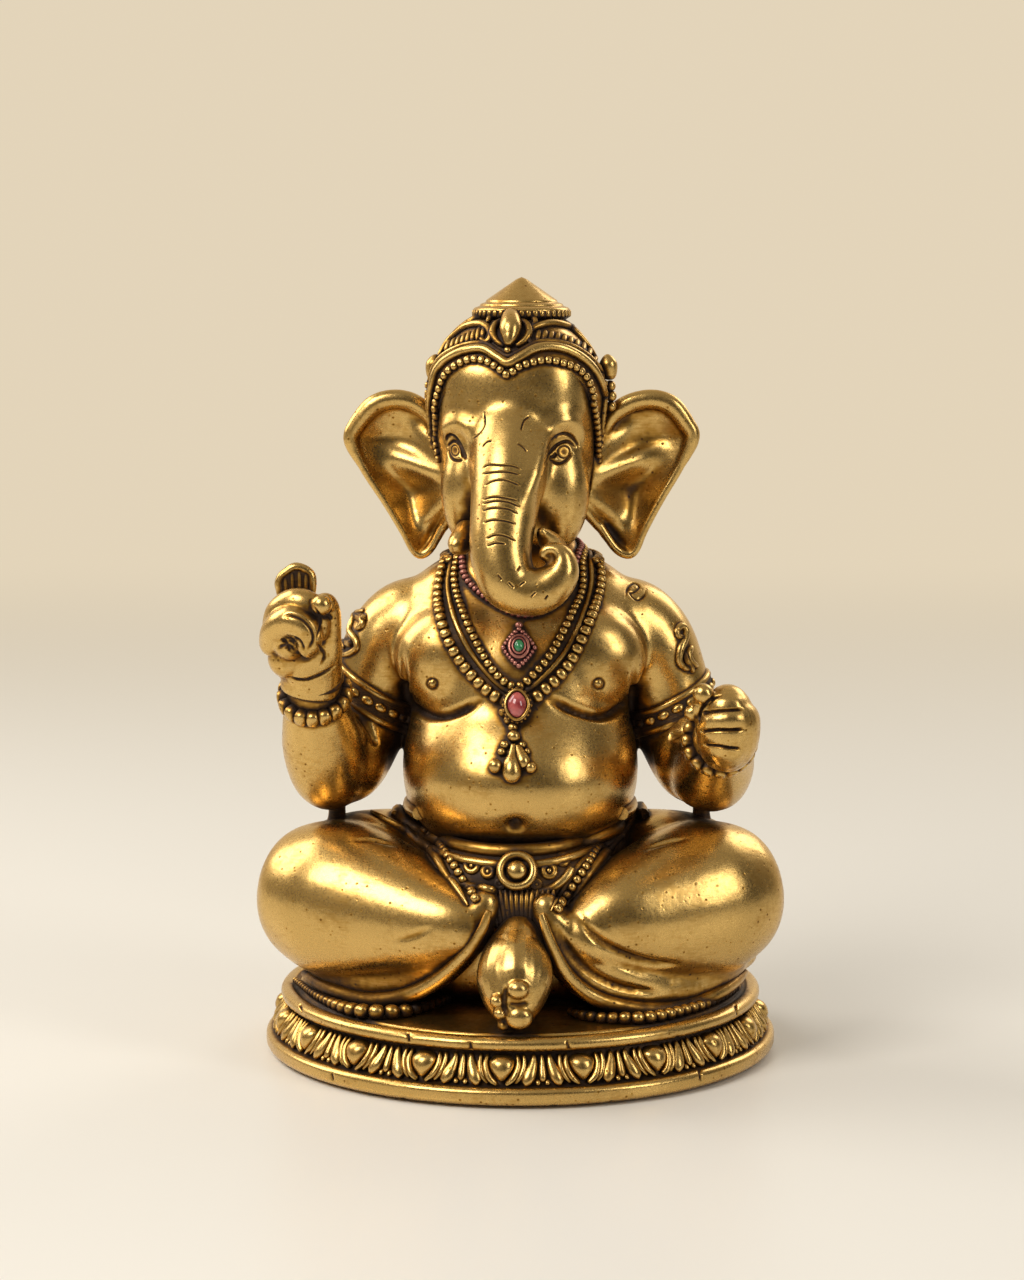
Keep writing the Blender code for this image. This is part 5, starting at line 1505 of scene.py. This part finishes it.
BAND_FOOT = -8.5
BAND_FOOT_RADIUS = 48.2
BAND_LEAN = 0.5
PETALS = 20
PETAL_PHASE = math.radians(-90.0 - 4.1)
PLINTH = (
    (0.0, RIM_FOOT), (48.8, RIM_FOOT), (BASE_RADIUS, RIM_FOOT + 0.8), (BASE_RADIUS, -9.3), (49.3, -8.7),
    (48.3, -8.6), (47.5, -8.3), (46.0, -5.6), (45.0, -3.4), (44.8, PLATE_FOOT), (0.0, PLATE_FOOT),
)
PLATE = (
    (0.0, 0.0), (43.2, 0.0), (43.6, -0.7), (44.3, -0.7), (44.7, 0.0), (46.0, 0.0), (PLATE_RADIUS, -0.8),
    (PLATE_RADIUS, PLATE_FOOT + 0.7), (46.2, PLATE_FOOT), (0.0, PLATE_FOOT),
)
RIM_NICKS = (
    ((553, 1092), (556, 1099), (553, 1107)), ((608, 1090), (611, 1102)), ((402, 1090), (404, 1100)),
    ((699, 1068), (701, 1082)), ((331, 1072), (333, 1081)),
)
PLATE_NICKS = (
    ((567, 1040), (569, 1050)), ((676, 1029), (678, 1040)), ((408, 1032), (409, 1043)),
    ((735, 1004), (738, 1016)), ((300, 1004), (302, 1014)), ((470, 1041), (471, 1050)),
)


# Leaves of one motif, as rows of along, up, outwards and radius, with how flat and how finely made
HEART = (
    ((0, 5.3, 0, 1.2), (0, 4.3, 0.1, 2.4), (0, 3.0, 0.2, 2.2), (0, 1.6, 0.1, 1.1), (0, 0.8, 0, 0.3)),
    0.85, 20,
)
INNER_LEAF = (
    ((2.8, 5.4, 0, 0.3), (3.1, 3.6, 0.3, 0.6), (2.2, 1.6, 0.3, 0.65), (0.7, 0.3, 0, 0.35)), 1.5, 10,
)
MIDDLE_LEAF = (
    ((4.1, 5.4, 0, 0.3), (4.2, 3.8, 0.2, 0.5), (3.6, 2.0, 0.2, 0.55), (2.4, 0.5, 0, 0.3)), 1.5, 10,
)
OUTER_LEAF = (
    ((6.1, 5.5, 0, 0.3), (5.9, 3.8, 0.1, 0.8), (5.1, 1.9, 0.1, 1.25), (4.3, 0.7, 0, 0.9),
     (4.0, 0.4, 0, 0.4)),
    0.95, 14,
)
DART = (
    ((7.6, 5.4, 0, 0.25), (7.6, 3.4, 0.1, 0.6), (7.6, 1.7, 0.1, 0.75), (7.6, 0.9, 0, 0.4)), 1.2, 10,
)
FOOT_BEAD = ((6.7, 0.1, 0.7), (0.5, 0.6, 0.5))


def leaf(rows, flat, segments, side=1):
    stations = [(side * x, out, z, r) for x, z, out, r in rows]
    return limb(stations, across=(0, 1, 0), flat=flat, segments=segments, rings=14)


def petal_motif():
    """One motif of the band on a flat strip: along, outwards and up."""
    parts = [leaf(*HEART)]
    for side in (-1, 1):
        parts += [leaf(*made, side) for made in (INNER_LEAF, MIDDLE_LEAF, OUTER_LEAF)]
        (x, y, z), radii = FOOT_BEAD
        parts.append(ball((side * x, y, z), radii, segments=10, rings=8))
    parts.append(leaf(*DART))
    return join("motif", parts)


def make_petals():
    motif = petal_motif()
    flat = get_points(motif)
    faces = [tuple(p.vertices) for p in motif.data.polygons]
    points, all_faces = [], []
    for i in range(PETALS):
        turn = PETAL_PHASE + 2 * math.pi * i / PETALS + flat[:, 0] / BAND_FOOT_RADIUS
        radius = BAND_FOOT_RADIUS - BAND_LEAN * flat[:, 2] + flat[:, 1]
        points.append(np.stack([radius * np.cos(turn), radius * np.sin(turn), BAND_FOOT + flat[:, 2]],
                               axis=1))
        all_faces += [tuple(i * len(flat) + k for k in face) for face in faces]
    mesh = bpy.data.meshes.new("cast_petals")
    mesh.from_pydata(np.concatenate(points).tolist(), [], all_faces)
    obj = bpy.data.objects.new("cast_petals", mesh)
    bpy.context.scene.collection.objects.link(obj)
    bpy.data.objects.remove(motif)
    return face_outwards(obj)


def make_turned(name, profile, radius, nicks=()):
    obj = turned(name, rounded(profile, radius), steps=240)
    if nicks:
        tree = tree_of(obj)
        lines = [line_on(tree, p, step=0.3) for p in nicks]
        for _ in range(2):
            refine(obj, lines, reach=1.6)
        carve(obj, lines, width=0.25, depth=0.4, ends=0.2, ink=0.9)
    return obj


# Putting the pieces together

body = make_body()
lap = make_lap()
foot = make_foot()
head = make_head()
crown, brow_band, jewel, rosettes = make_crown(head)
skin = tree_of(body)
strands = make_strands(skin)
chest = tree_of(body, *strands.values())
brooch, brooch_stone = make_brooch(chest, skin)
pendant, pendant_stone, drops = make_pendant(chest, skin)
belt, apron, buckle_ring, buckle_boss, sashes = make_waist(body, lap)
cuff = tube("cuff_lip", girdle(skin, *CUFF, count=48, reach=CUFF_REACH), radius=0.75, sides=10, closed=True)
raised_hand = join("cast_right_hand", [make_raised_hand(), cuff])

PIECES = [
    (body, "antique_brass", ("torso", "right_upper_arm", "left_upper_arm", "right_forearm",
                             "left_forearm")),
    (lap, "antique_brass", ("hips", "right_leg", "left_leg")),
    (foot, "antique_brass", ("foot",)),
    (head, "antique_brass", ("head",)),
    (make_tusk("cast_right_tusk", RIGHT_TUSK), "antique_brass", ("right_tusk",)),
    (make_tusk("cast_left_tusk", LEFT_TUSK), "antique_brass", ("left_tusk",)),
    (make_ear("cast_right_ear", RIGHT_EAR_RIM, RIGHT_EAR_ROOT), "antique_brass", ("right_ear",)),
    (make_ear("cast_left_ear", LEFT_EAR_RIM, LEFT_EAR_ROOT), "antique_brass", ("left_ear",)),
    (crown, "antique_brass", ("crown_cap",)),
    (brow_band, "antique_brass", ("crown_band",)),
    (jewel, "antique_brass", ("crown_jewel",)),
    (rosettes["right"], "antique_brass", ("right_crown_rosette",)),
    (rosettes["left"], "antique_brass", ("left_crown_rosette",)),
    (make_finial(), "antique_brass", ("crown_finial",)),
    (raised_hand, "antique_brass", ("right_hand",)),
    (make_level_hand(), "antique_brass", ("left_hand",)),
    (make_emblem(), "antique_brass", ("lotus_bud",)),
    (strands["outer"], "antique_brass", ("outer_bead_strand",)),
    (strands["smooth"], "antique_brass", ("smooth_strand",)),
    (strands["inner"], "antique_brass", ("inner_bead_strand",)),
    (strands["choker"], "red_enamel", ("choker",)),
    (brooch, "red_enamel", ("brooch_setting",)),
    (brooch_stone, "green_stone", ("brooch_stone",)),
    (pendant, "antique_brass", ("pendant_setting",)),
    (pendant_stone, "red_stone", ("pendant_stone",)),
    (drops, "antique_brass", ("pendant_drops",)),
    (belt, "antique_brass", ("belt",)),
    (apron, "antique_brass", ("waist_apron",)),
    (buckle_ring, "antique_brass", ("buckle_ring",)),
    (buckle_boss, "antique_brass", ("buckle_boss",)),
    (roll("cast_right_hem", RIGHT_HEM, HEM_RADIUS), "antique_brass", ("right_leg_hem",)),
    (roll("cast_left_hem", LEFT_HEM, HEM_RADIUS), "antique_brass", ("left_leg_hem",)),
    (make_petals(), "antique_brass", ("petal_band",)),
    (make_turned("cast_plinth", PLINTH, radius=0.8, nicks=RIM_NICKS), "antique_brass", ("base_plinth",)),
    (make_turned("cast_plate", PLATE, radius=0.8, nicks=PLATE_NICKS), "antique_brass", ("top_plate",)),
]
for side in ("right", "left"):
    PIECES += [
        (make_armlet(f"cast_{side}_armlet", skin, *ARMLETS[side]), "antique_brass", (f"{side}_armlet",)),
        (make_crest(f"cast_{side}_crest", skin, CRESTS[side]), "antique_brass", (f"{side}_armlet_crest",)),
        (make_bracelet(f"cast_{side}_bracelet", skin, *BRACELETS[side]), "antique_brass",
         (f"{side}_bracelet",)),
        (make_post(f"cast_{side}_post", f"{side}_elbow_pin"), "antique_brass", (f"{side}_elbow_pin",)),
        (sashes[side], "antique_brass", (f"{side}_sash",)),
        (make_hem_beads(f"cast_{side}_hem_beads", HEM_BEADS[side]), "antique_brass",
         (f"{side}_hem_beads",)),
    ]

felt_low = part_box("felt_pad")[0][2] / MM - SEAT
felt_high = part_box("felt_pad")[1][2] / MM - SEAT
felt = turned("felt_disc", rounded(
    ((0.0, felt_low), (FELT_RADIUS, felt_low), (FELT_RADIUS, felt_high), (0.0, felt_high)), radius=0.3),
    steps=128)
PIECES.append((felt, "felt", ("felt_pad",)))


# Patina and painted shade: how deep in a recess each point lies, from short feelers sent out of the surface

FEELERS = 8
FEELER_LENGTH = 5.0
PATINA_PASSES = 3
FEELER_START = 0.06
FEELER_TURN = 2.399963
GAP_FADE = 0.5
EDGE_SHARE = 0.14
EDGE_LIMIT = 0.6
FLATTEST_LEAN = 0.03
# How strongly feeler hits darken each piece, as patina in hollows and as painted shade
PATINA_SHADE_SHARE = 1.5
PATINA_SHADE_SHARES = {"cast_petals": 0.8, "cast_right_hand": 1.9, "cast_right_ear": 0.8}


def feel_recesses(objs):
    tree = tree_of(*objs)
    spread = []
    for i in range(FEELERS):
        rise = (1 - (i + 0.5) / FEELERS) ** 0.75
        turn = i * FEELER_TURN
        flat = math.sqrt(1 - rise * rise)
        spread.append((flat * math.cos(turn), flat * math.sin(turn), rise))
    for obj in objs:
        points, normals = get_points(obj), get_normals(obj)
        start = points + normals * FEELER_START
        helper = np.where(np.abs(normals[:, 2:3]) < 0.9, (0.0, 0.0, 1.0), (1.0, 0.0, 0.0))
        side = np.cross(normals, helper)
        side /= np.maximum(np.linalg.norm(side, axis=1), 1e-9)[:, None]
        other = np.cross(normals, side)
        found = np.zeros(len(points))
        for a, b, c in spread:
            ways = side * a + other * b + normals * c
            for k, (place, way) in enumerate(zip(start.tolist(), ways.tolist())):
                gap = tree.ray_cast(place, way, FEELER_LENGTH)[3]
                if gap is not None:
                    found[k] += 1 - GAP_FADE * gap / FEELER_LENGTH
        found /= FEELERS
        lean = neighbour_mean(obj, points) - points
        hollow = (lean * normals).sum(axis=1) / np.maximum(np.linalg.norm(lean, axis=1), FLATTEST_LEAN)
        layers = np.stack([found, hollow], axis=1)
        for _ in range(PATINA_PASSES):
            layers = 0.5 * layers + 0.5 * neighbour_mean(obj, layers)
        edge = np.clip(layers[:, 1], -EDGE_LIMIT, EDGE_LIMIT)
        # Feeler hits on this piece and on the pieces around it give dark patina in hollows and painted
        # shade where parts hide the surface; convex edges stay lighter as worn metal
        found = layers[:, 0] * PATINA_SHADE_SHARES.get(obj.name, PATINA_SHADE_SHARE) + edge * EDGE_SHARE
        ink = obj.data.attributes.get("ink")
        if ink:
            amount = np.empty(len(points))
            ink.data.foreach_get("value", amount)
            found = np.maximum(found, amount)
        layer = obj.data.attributes.new("patina_and_shade", "FLOAT", "POINT")
        layer.data.foreach_set("value", found)


feel_recesses([obj for obj, slot, _ in PIECES if slot != "felt"])


# Finishes

def new_nodes(name):
    material = bpy.data.materials.new(name)
    material.use_nodes = True
    tree = material.node_tree
    return material, tree, tree.nodes["Principled BSDF"]


def noise(tree, coords, scale, detail=3.0, rough=0.55, stretch=None):
    if stretch:
        mapping = tree.nodes.new("ShaderNodeMapping")
        mapping.inputs["Scale"].default_value = stretch
        tree.links.new(coords, mapping.inputs["Vector"])
        coords = mapping.outputs["Vector"]
    node = tree.nodes.new("ShaderNodeTexNoise")
    node.inputs["Scale"].default_value = scale
    node.inputs["Detail"].default_value = detail
    node.inputs["Roughness"].default_value = rough
    tree.links.new(coords, node.inputs["Vector"])
    return node.outputs["Fac"]


def math_node(tree, kind, a, b=0.0, c=0.0, clamp=False):
    node = tree.nodes.new("ShaderNodeMath")
    node.operation = kind
    node.use_clamp = clamp
    for socket, value in zip(node.inputs, (a, b, c)):
        if isinstance(value, (int, float)):
            socket.default_value = value
        else:
            tree.links.new(value, socket)
    return node.outputs[0]


def remap(tree, value, low, high, to_low=0.0, to_high=1.0):
    node = tree.nodes.new("ShaderNodeMapRange")
    node.interpolation_type = "SMOOTHSTEP"
    node.inputs["From Min"].default_value = low
    node.inputs["From Max"].default_value = high
    node.inputs["To Min"].default_value = to_low
    node.inputs["To Max"].default_value = to_high
    tree.links.new(value, node.inputs["Value"])
    return node.outputs["Result"]


def ramp(tree, value, stops):
    node = tree.nodes.new("ShaderNodeValToRGB")
    points = node.color_ramp.elements
    while len(points) < len(stops):
        points.new(0.5)
    for point, (place, color) in zip(points, stops):
        point.position = place
        point.color = (*color, 1.0)
    tree.links.new(value, node.inputs["Fac"])
    return node.outputs["Color"]


BLOTCH_SHARE = 0.75
FINE_SHARE = 0.45
SCRATCH_SHARE = 0.35
PIT_SHARE = 0.55
ROUGH_CLEAN = 0.28
ROUGH_DARK = 0.30
ROUGH_GRAIN = 0.2
SWELL_HEIGHT = 0.9
FINE_HEIGHT = 0.16
PIT_HEIGHT = -0.3
BUMP_DISTANCE = 0.0006


def wear_and_shade_group():
    """Old polished metal: how dark each spot is, from patina and painted shade in recesses and from
    blotches, pits and scratches, and the small unevenness of the casting.
    """
    group = bpy.data.node_groups.new("cast_metal_wear_and_shade", "ShaderNodeTree")
    group.interface.new_socket("Recess", in_out="INPUT", socket_type="NodeSocketFloat")
    group.interface.new_socket("Dark", in_out="OUTPUT", socket_type="NodeSocketFloat")
    group.interface.new_socket("Roughness", in_out="OUTPUT", socket_type="NodeSocketFloat")
    group.interface.new_socket("Height", in_out="OUTPUT", socket_type="NodeSocketFloat")
    given = group.nodes.new("NodeGroupInput")
    made = group.nodes.new("NodeGroupOutput")
    coords = group.nodes.new("ShaderNodeTexCoord").outputs["Object"]
    blotch = noise(group, coords, scale=110.0, detail=4.0, rough=0.6)
    fine = noise(group, coords, scale=900.0, detail=3.0, rough=0.6)
    grain = noise(group, coords, scale=2600.0, detail=2.0, rough=0.5)
    scratch = noise(group, coords, scale=420.0, detail=2.0, rough=0.5, stretch=(1.0, 1.0, 7.0))
    pits = group.nodes.new("ShaderNodeTexVoronoi")
    pits.inputs["Scale"].default_value = 640.0
    group.links.new(coords, pits.inputs["Vector"])
    pit = remap(group, pits.outputs["Distance"], low=0.06, high=0.22, to_low=1.0, to_high=0.0)
    pit = math_node(group, "MULTIPLY", pit, remap(group, blotch, low=0.42, high=0.56))
    # The recess value is patina in hollows and painted shade where parts hide the surface
    recess = remap(group, given.outputs["Recess"], low=0.07, high=0.72)
    soft = recess
    for spots, middle, share in (
            (blotch, 0.5, BLOTCH_SHARE), (fine, 0.5, FINE_SHARE), (scratch, 0.55, SCRATCH_SHARE)):
        soft = math_node(group, "MULTIPLY_ADD", math_node(group, "SUBTRACT", spots, middle), share, soft)
    dark = math_node(group, "MULTIPLY_ADD", pit, PIT_SHARE, soft, clamp=True)
    rough = math_node(group, "MULTIPLY_ADD", dark, ROUGH_DARK, ROUGH_CLEAN)
    grain = math_node(group, "SUBTRACT", grain, 0.5)
    rough = math_node(group, "MULTIPLY_ADD", grain, ROUGH_GRAIN, rough, clamp=True)
    height = math_node(group, "MULTIPLY", noise(group, coords, scale=190.0, detail=2.0, rough=0.5),
                       SWELL_HEIGHT)
    height = math_node(group, "MULTIPLY_ADD", fine, FINE_HEIGHT, height)
    height = math_node(group, "MULTIPLY_ADD", pit, PIT_HEIGHT, height)
    group.links.new(dark, made.inputs["Dark"])
    group.links.new(rough, made.inputs["Roughness"])
    group.links.new(height, made.inputs["Height"])
    return group


WEAR_AND_SHADE = wear_and_shade_group()


def metal(name, stops, metallic=(1.0, 0.7), bump=0.25):
    material, tree, shader = new_nodes(name)
    patina_and_shade = tree.nodes.new("ShaderNodeAttribute")
    patina_and_shade.attribute_name = "patina_and_shade"
    wear_and_shade = tree.nodes.new("ShaderNodeGroup")
    wear_and_shade.node_tree = WEAR_AND_SHADE
    # The patina layer darkens the base colour: patina in hollows and painted shade where parts hide the
    # surface
    tree.links.new(patina_and_shade.outputs["Fac"], wear_and_shade.inputs["Recess"])
    tree.links.new(ramp(tree, wear_and_shade.outputs["Dark"], stops), shader.inputs["Base Color"])
    tree.links.new(wear_and_shade.outputs["Roughness"], shader.inputs["Roughness"])
    tree.links.new(remap(tree, wear_and_shade.outputs["Dark"], 0.5, 1.0, *metallic), shader.inputs["Metallic"])
    height = tree.nodes.new("ShaderNodeBump")
    height.inputs["Strength"].default_value = bump
    height.inputs["Distance"].default_value = BUMP_DISTANCE
    tree.links.new(wear_and_shade.outputs["Height"], height.inputs["Height"])
    tree.links.new(height.outputs["Normal"], shader.inputs["Normal"])
    return material


def stone(name, deep, bright):
    material, tree, shader = new_nodes(name)
    coords = tree.nodes.new("ShaderNodeTexCoord").outputs["Object"]
    cloud = noise(tree, coords, scale=500.0, detail=2.0)
    tree.links.new(ramp(tree, cloud, ((0.3, deep), (0.7, bright))), shader.inputs["Base Color"])
    shader.inputs["Roughness"].default_value = 0.12
    shader.inputs["Coat Weight"].default_value = 0.6
    return material


FELT = ((0.3, (0.012, 0.03, 0.016)), (0.7, (0.03, 0.07, 0.04)))


def felt_finish():
    material, tree, shader = new_nodes("felt")
    coords = tree.nodes.new("ShaderNodeTexCoord").outputs["Object"]
    fuzz = noise(tree, coords, scale=1500.0, detail=4.0, rough=0.7)
    tree.links.new(ramp(tree, fuzz, FELT), shader.inputs["Base Color"])
    shader.inputs["Roughness"].default_value = 0.95
    return material


# Colours of each metal from polished to the bottom of a recess, whose dark end is patina and painted shade
BRASS = (
    (0.0, (0.63, 0.41, 0.135)), (0.3, (0.42, 0.228, 0.046)),
    (0.64, (0.17, 0.082, 0.018)), (1.0, (0.040, 0.024, 0.017)),
)
ENAMEL = (
    (0.0, (0.46, 0.20, 0.15)), (0.35, (0.32, 0.09, 0.075)),
    (0.7, (0.14, 0.03, 0.03)), (1.0, (0.03, 0.012, 0.012)),
)
STEEL = ((0.0, (0.55, 0.55, 0.54)), (0.5, (0.36, 0.35, 0.34)), (1.0, (0.12, 0.10, 0.09)))
FINISHES = {
    "antique_brass": metal("antique_brass", BRASS),
    "red_enamel": metal("red_enamel", ENAMEL, metallic=(0.6, 0.3)),
    "steel": metal("steel", STEEL, metallic=(1.0, 0.9), bump=0.1),
    "red_stone": stone("red_stone", deep=(0.20, 0.015, 0.022), bright=(0.52, 0.12, 0.11)),
    "green_stone": stone("green_stone", deep=(0.01, 0.08, 0.03), bright=(0.05, 0.30, 0.12)),
    "felt": felt_finish(),
}

SMOOTH_BELOW = math.radians(50)
for obj, slot, nodes in PIECES:
    points = get_points(obj)
    points[:, 2] += SEAT
    set_points(obj, points * MM)
    obj.data.materials.clear()
    obj.data.materials.append(FINISHES[slot])
    take(obj)
    bpy.ops.object.shade_smooth_by_angle(angle=SMOOTH_BELOW)
    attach(obj, "root")
    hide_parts(*nodes)

for obj in bpy.context.scene.objects:
    if "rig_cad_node" in obj and not obj.hide_render:
        obj.data.materials.clear()
        obj.data.materials.append(FINISHES["steel"])


# Floor, light and camera

def area_light(name, place, aim, size, power, color):
    light = bpy.data.lights.new(name, "AREA")
    light.shape = "RECTANGLE"
    light.size, light.size_y = size
    light.energy = power
    light.color = color
    obj = bpy.data.objects.new(name, light)
    bpy.context.scene.collection.objects.link(obj)
    obj.location = place
    obj.rotation_euler = (Vector(aim) - Vector(place)).to_track_quat("-Z", "Y").to_euler()
    return obj


# In metres: the floor fades into the wall's colour behind the figure
WALL = (0.77, 0.66, 0.49)
FLOOR_COLOR = (0.80, 0.765, 0.70)
FLOOR_SIDE = 16.0
FADE_FROM_Y = 0.12
FADE_TO_Y = 1.0
bpy.ops.object.select_all(action="DESELECT")
bpy.ops.mesh.primitive_plane_add(size=FLOOR_SIDE)
floor = bpy.context.active_object
floor.name = "floor"
material, tree, shader = new_nodes("floor")
shader.inputs["Base Color"].default_value = (*FLOOR_COLOR, 1.0)
shader.inputs["Roughness"].default_value = 0.35
shader.inputs["Specular IOR Level"].default_value = 0.25
haze = tree.nodes.new("ShaderNodeEmission")
haze.inputs["Color"].default_value = (*WALL, 1.0)
spot = tree.nodes.new("ShaderNodeSeparateXYZ")
tree.links.new(tree.nodes.new("ShaderNodeTexCoord").outputs["Object"], spot.inputs[0])
mix = tree.nodes.new("ShaderNodeMixShader")
tree.links.new(remap(tree, spot.outputs["Y"], FADE_FROM_Y, FADE_TO_Y), mix.inputs[0])
tree.links.new(shader.outputs[0], mix.inputs[1])
tree.links.new(haze.outputs[0], mix.inputs[2])
tree.links.new(mix.outputs[0], tree.nodes["Material Output"].inputs["Surface"])
floor.data.materials.append(material)

# Lamps by name, place, size, watts and colour, all turned to the figure's middle
MIDDLE = (0.0, 0.0, 0.07)
WARM = (1.0, 0.96, 0.90)
SOFT_WARM = (1.0, 0.97, 0.92)
LAMPS = (
    ("key", (-0.43, -0.44, 0.65), (0.42, 0.42), 4.5, WARM),
    ("left", (-0.62, 0.22, 0.55), (0.45, 0.55), 3.6, SOFT_WARM),
    ("right", (0.57, -0.39, 0.40), (0.2, 0.45), 1.5, SOFT_WARM),
    ("back", (0.45, 0.5, 0.5), (0.35, 0.35), 1.2, WARM),
)
for name, place, size, watts, color in LAMPS:
    area_light(name, place, MIDDLE, size, watts, color)

# The room that the metal shows: the wall behind, a ceiling, and a dim side to the right and left
ROOM_RIGHT = (0.06, 0.05, 0.04)
ROOM_LEFT = (0.26, 0.22, 0.17)
CEILING = (0.38, 0.34, 0.28)
FILL = (0.26, 0.255, 0.245)
world = bpy.data.worlds.new("studio")
bpy.context.scene.world = world
world.use_nodes = True
nodes, links = world.node_tree.nodes, world.node_tree.links
path = nodes.new("ShaderNodeLightPath")


def blend(factor, low, high):
    node = nodes.new("ShaderNodeMix")
    node.data_type = "RGBA"
    links.new(factor, node.inputs[0])
    for socket, value in ((node.inputs[6], low), (node.inputs[7], high)):
        if isinstance(value, tuple):
            socket.default_value = (*value, 1.0)
        else:
            links.new(value, socket)
    return node.outputs[2]


way = nodes.new("ShaderNodeTexCoord")
parts = nodes.new("ShaderNodeSeparateXYZ")
links.new(way.outputs["Generated"], parts.inputs[0])
behind = remap(world.node_tree, parts.outputs["Y"], low=0.0, high=0.9)
above = remap(world.node_tree, parts.outputs["Z"], low=0.45, high=1.0)
left = remap(world.node_tree, parts.outputs["X"], low=-0.9, high=0.5, to_low=1.0, to_high=0.0)
front = blend(left, ROOM_RIGHT, ROOM_LEFT)
room = blend(behind, blend(above, front, CEILING), WALL)
shows = path.outputs["Is Camera Ray"]
for ray in ("Is Glossy Ray", "Is Transmission Ray"):
    either = nodes.new("ShaderNodeMath")
    either.operation = "MAXIMUM"
    links.new(shows, either.inputs[0])
    links.new(path.outputs[ray], either.inputs[1])
    shows = either.outputs[0]
links.new(blend(shows, FILL, room), nodes["Background"].inputs["Color"])

camera = bpy.data.cameras.new("camera")
camera.lens = LENS
camera.sensor_width = SENSOR
camera.dof.use_dof = False
eye = bpy.data.objects.new("camera", camera)
bpy.context.scene.collection.objects.link(eye)
eye.location = (EYE + Vector((0, 0, SEAT))) * MM
eye.rotation_euler = (math.pi / 2 - EYE_TILT, 0.0, EYE_TURN)
bpy.context.scene.camera = eye
bpy.context.scene.view_settings.view_transform = "Standard"
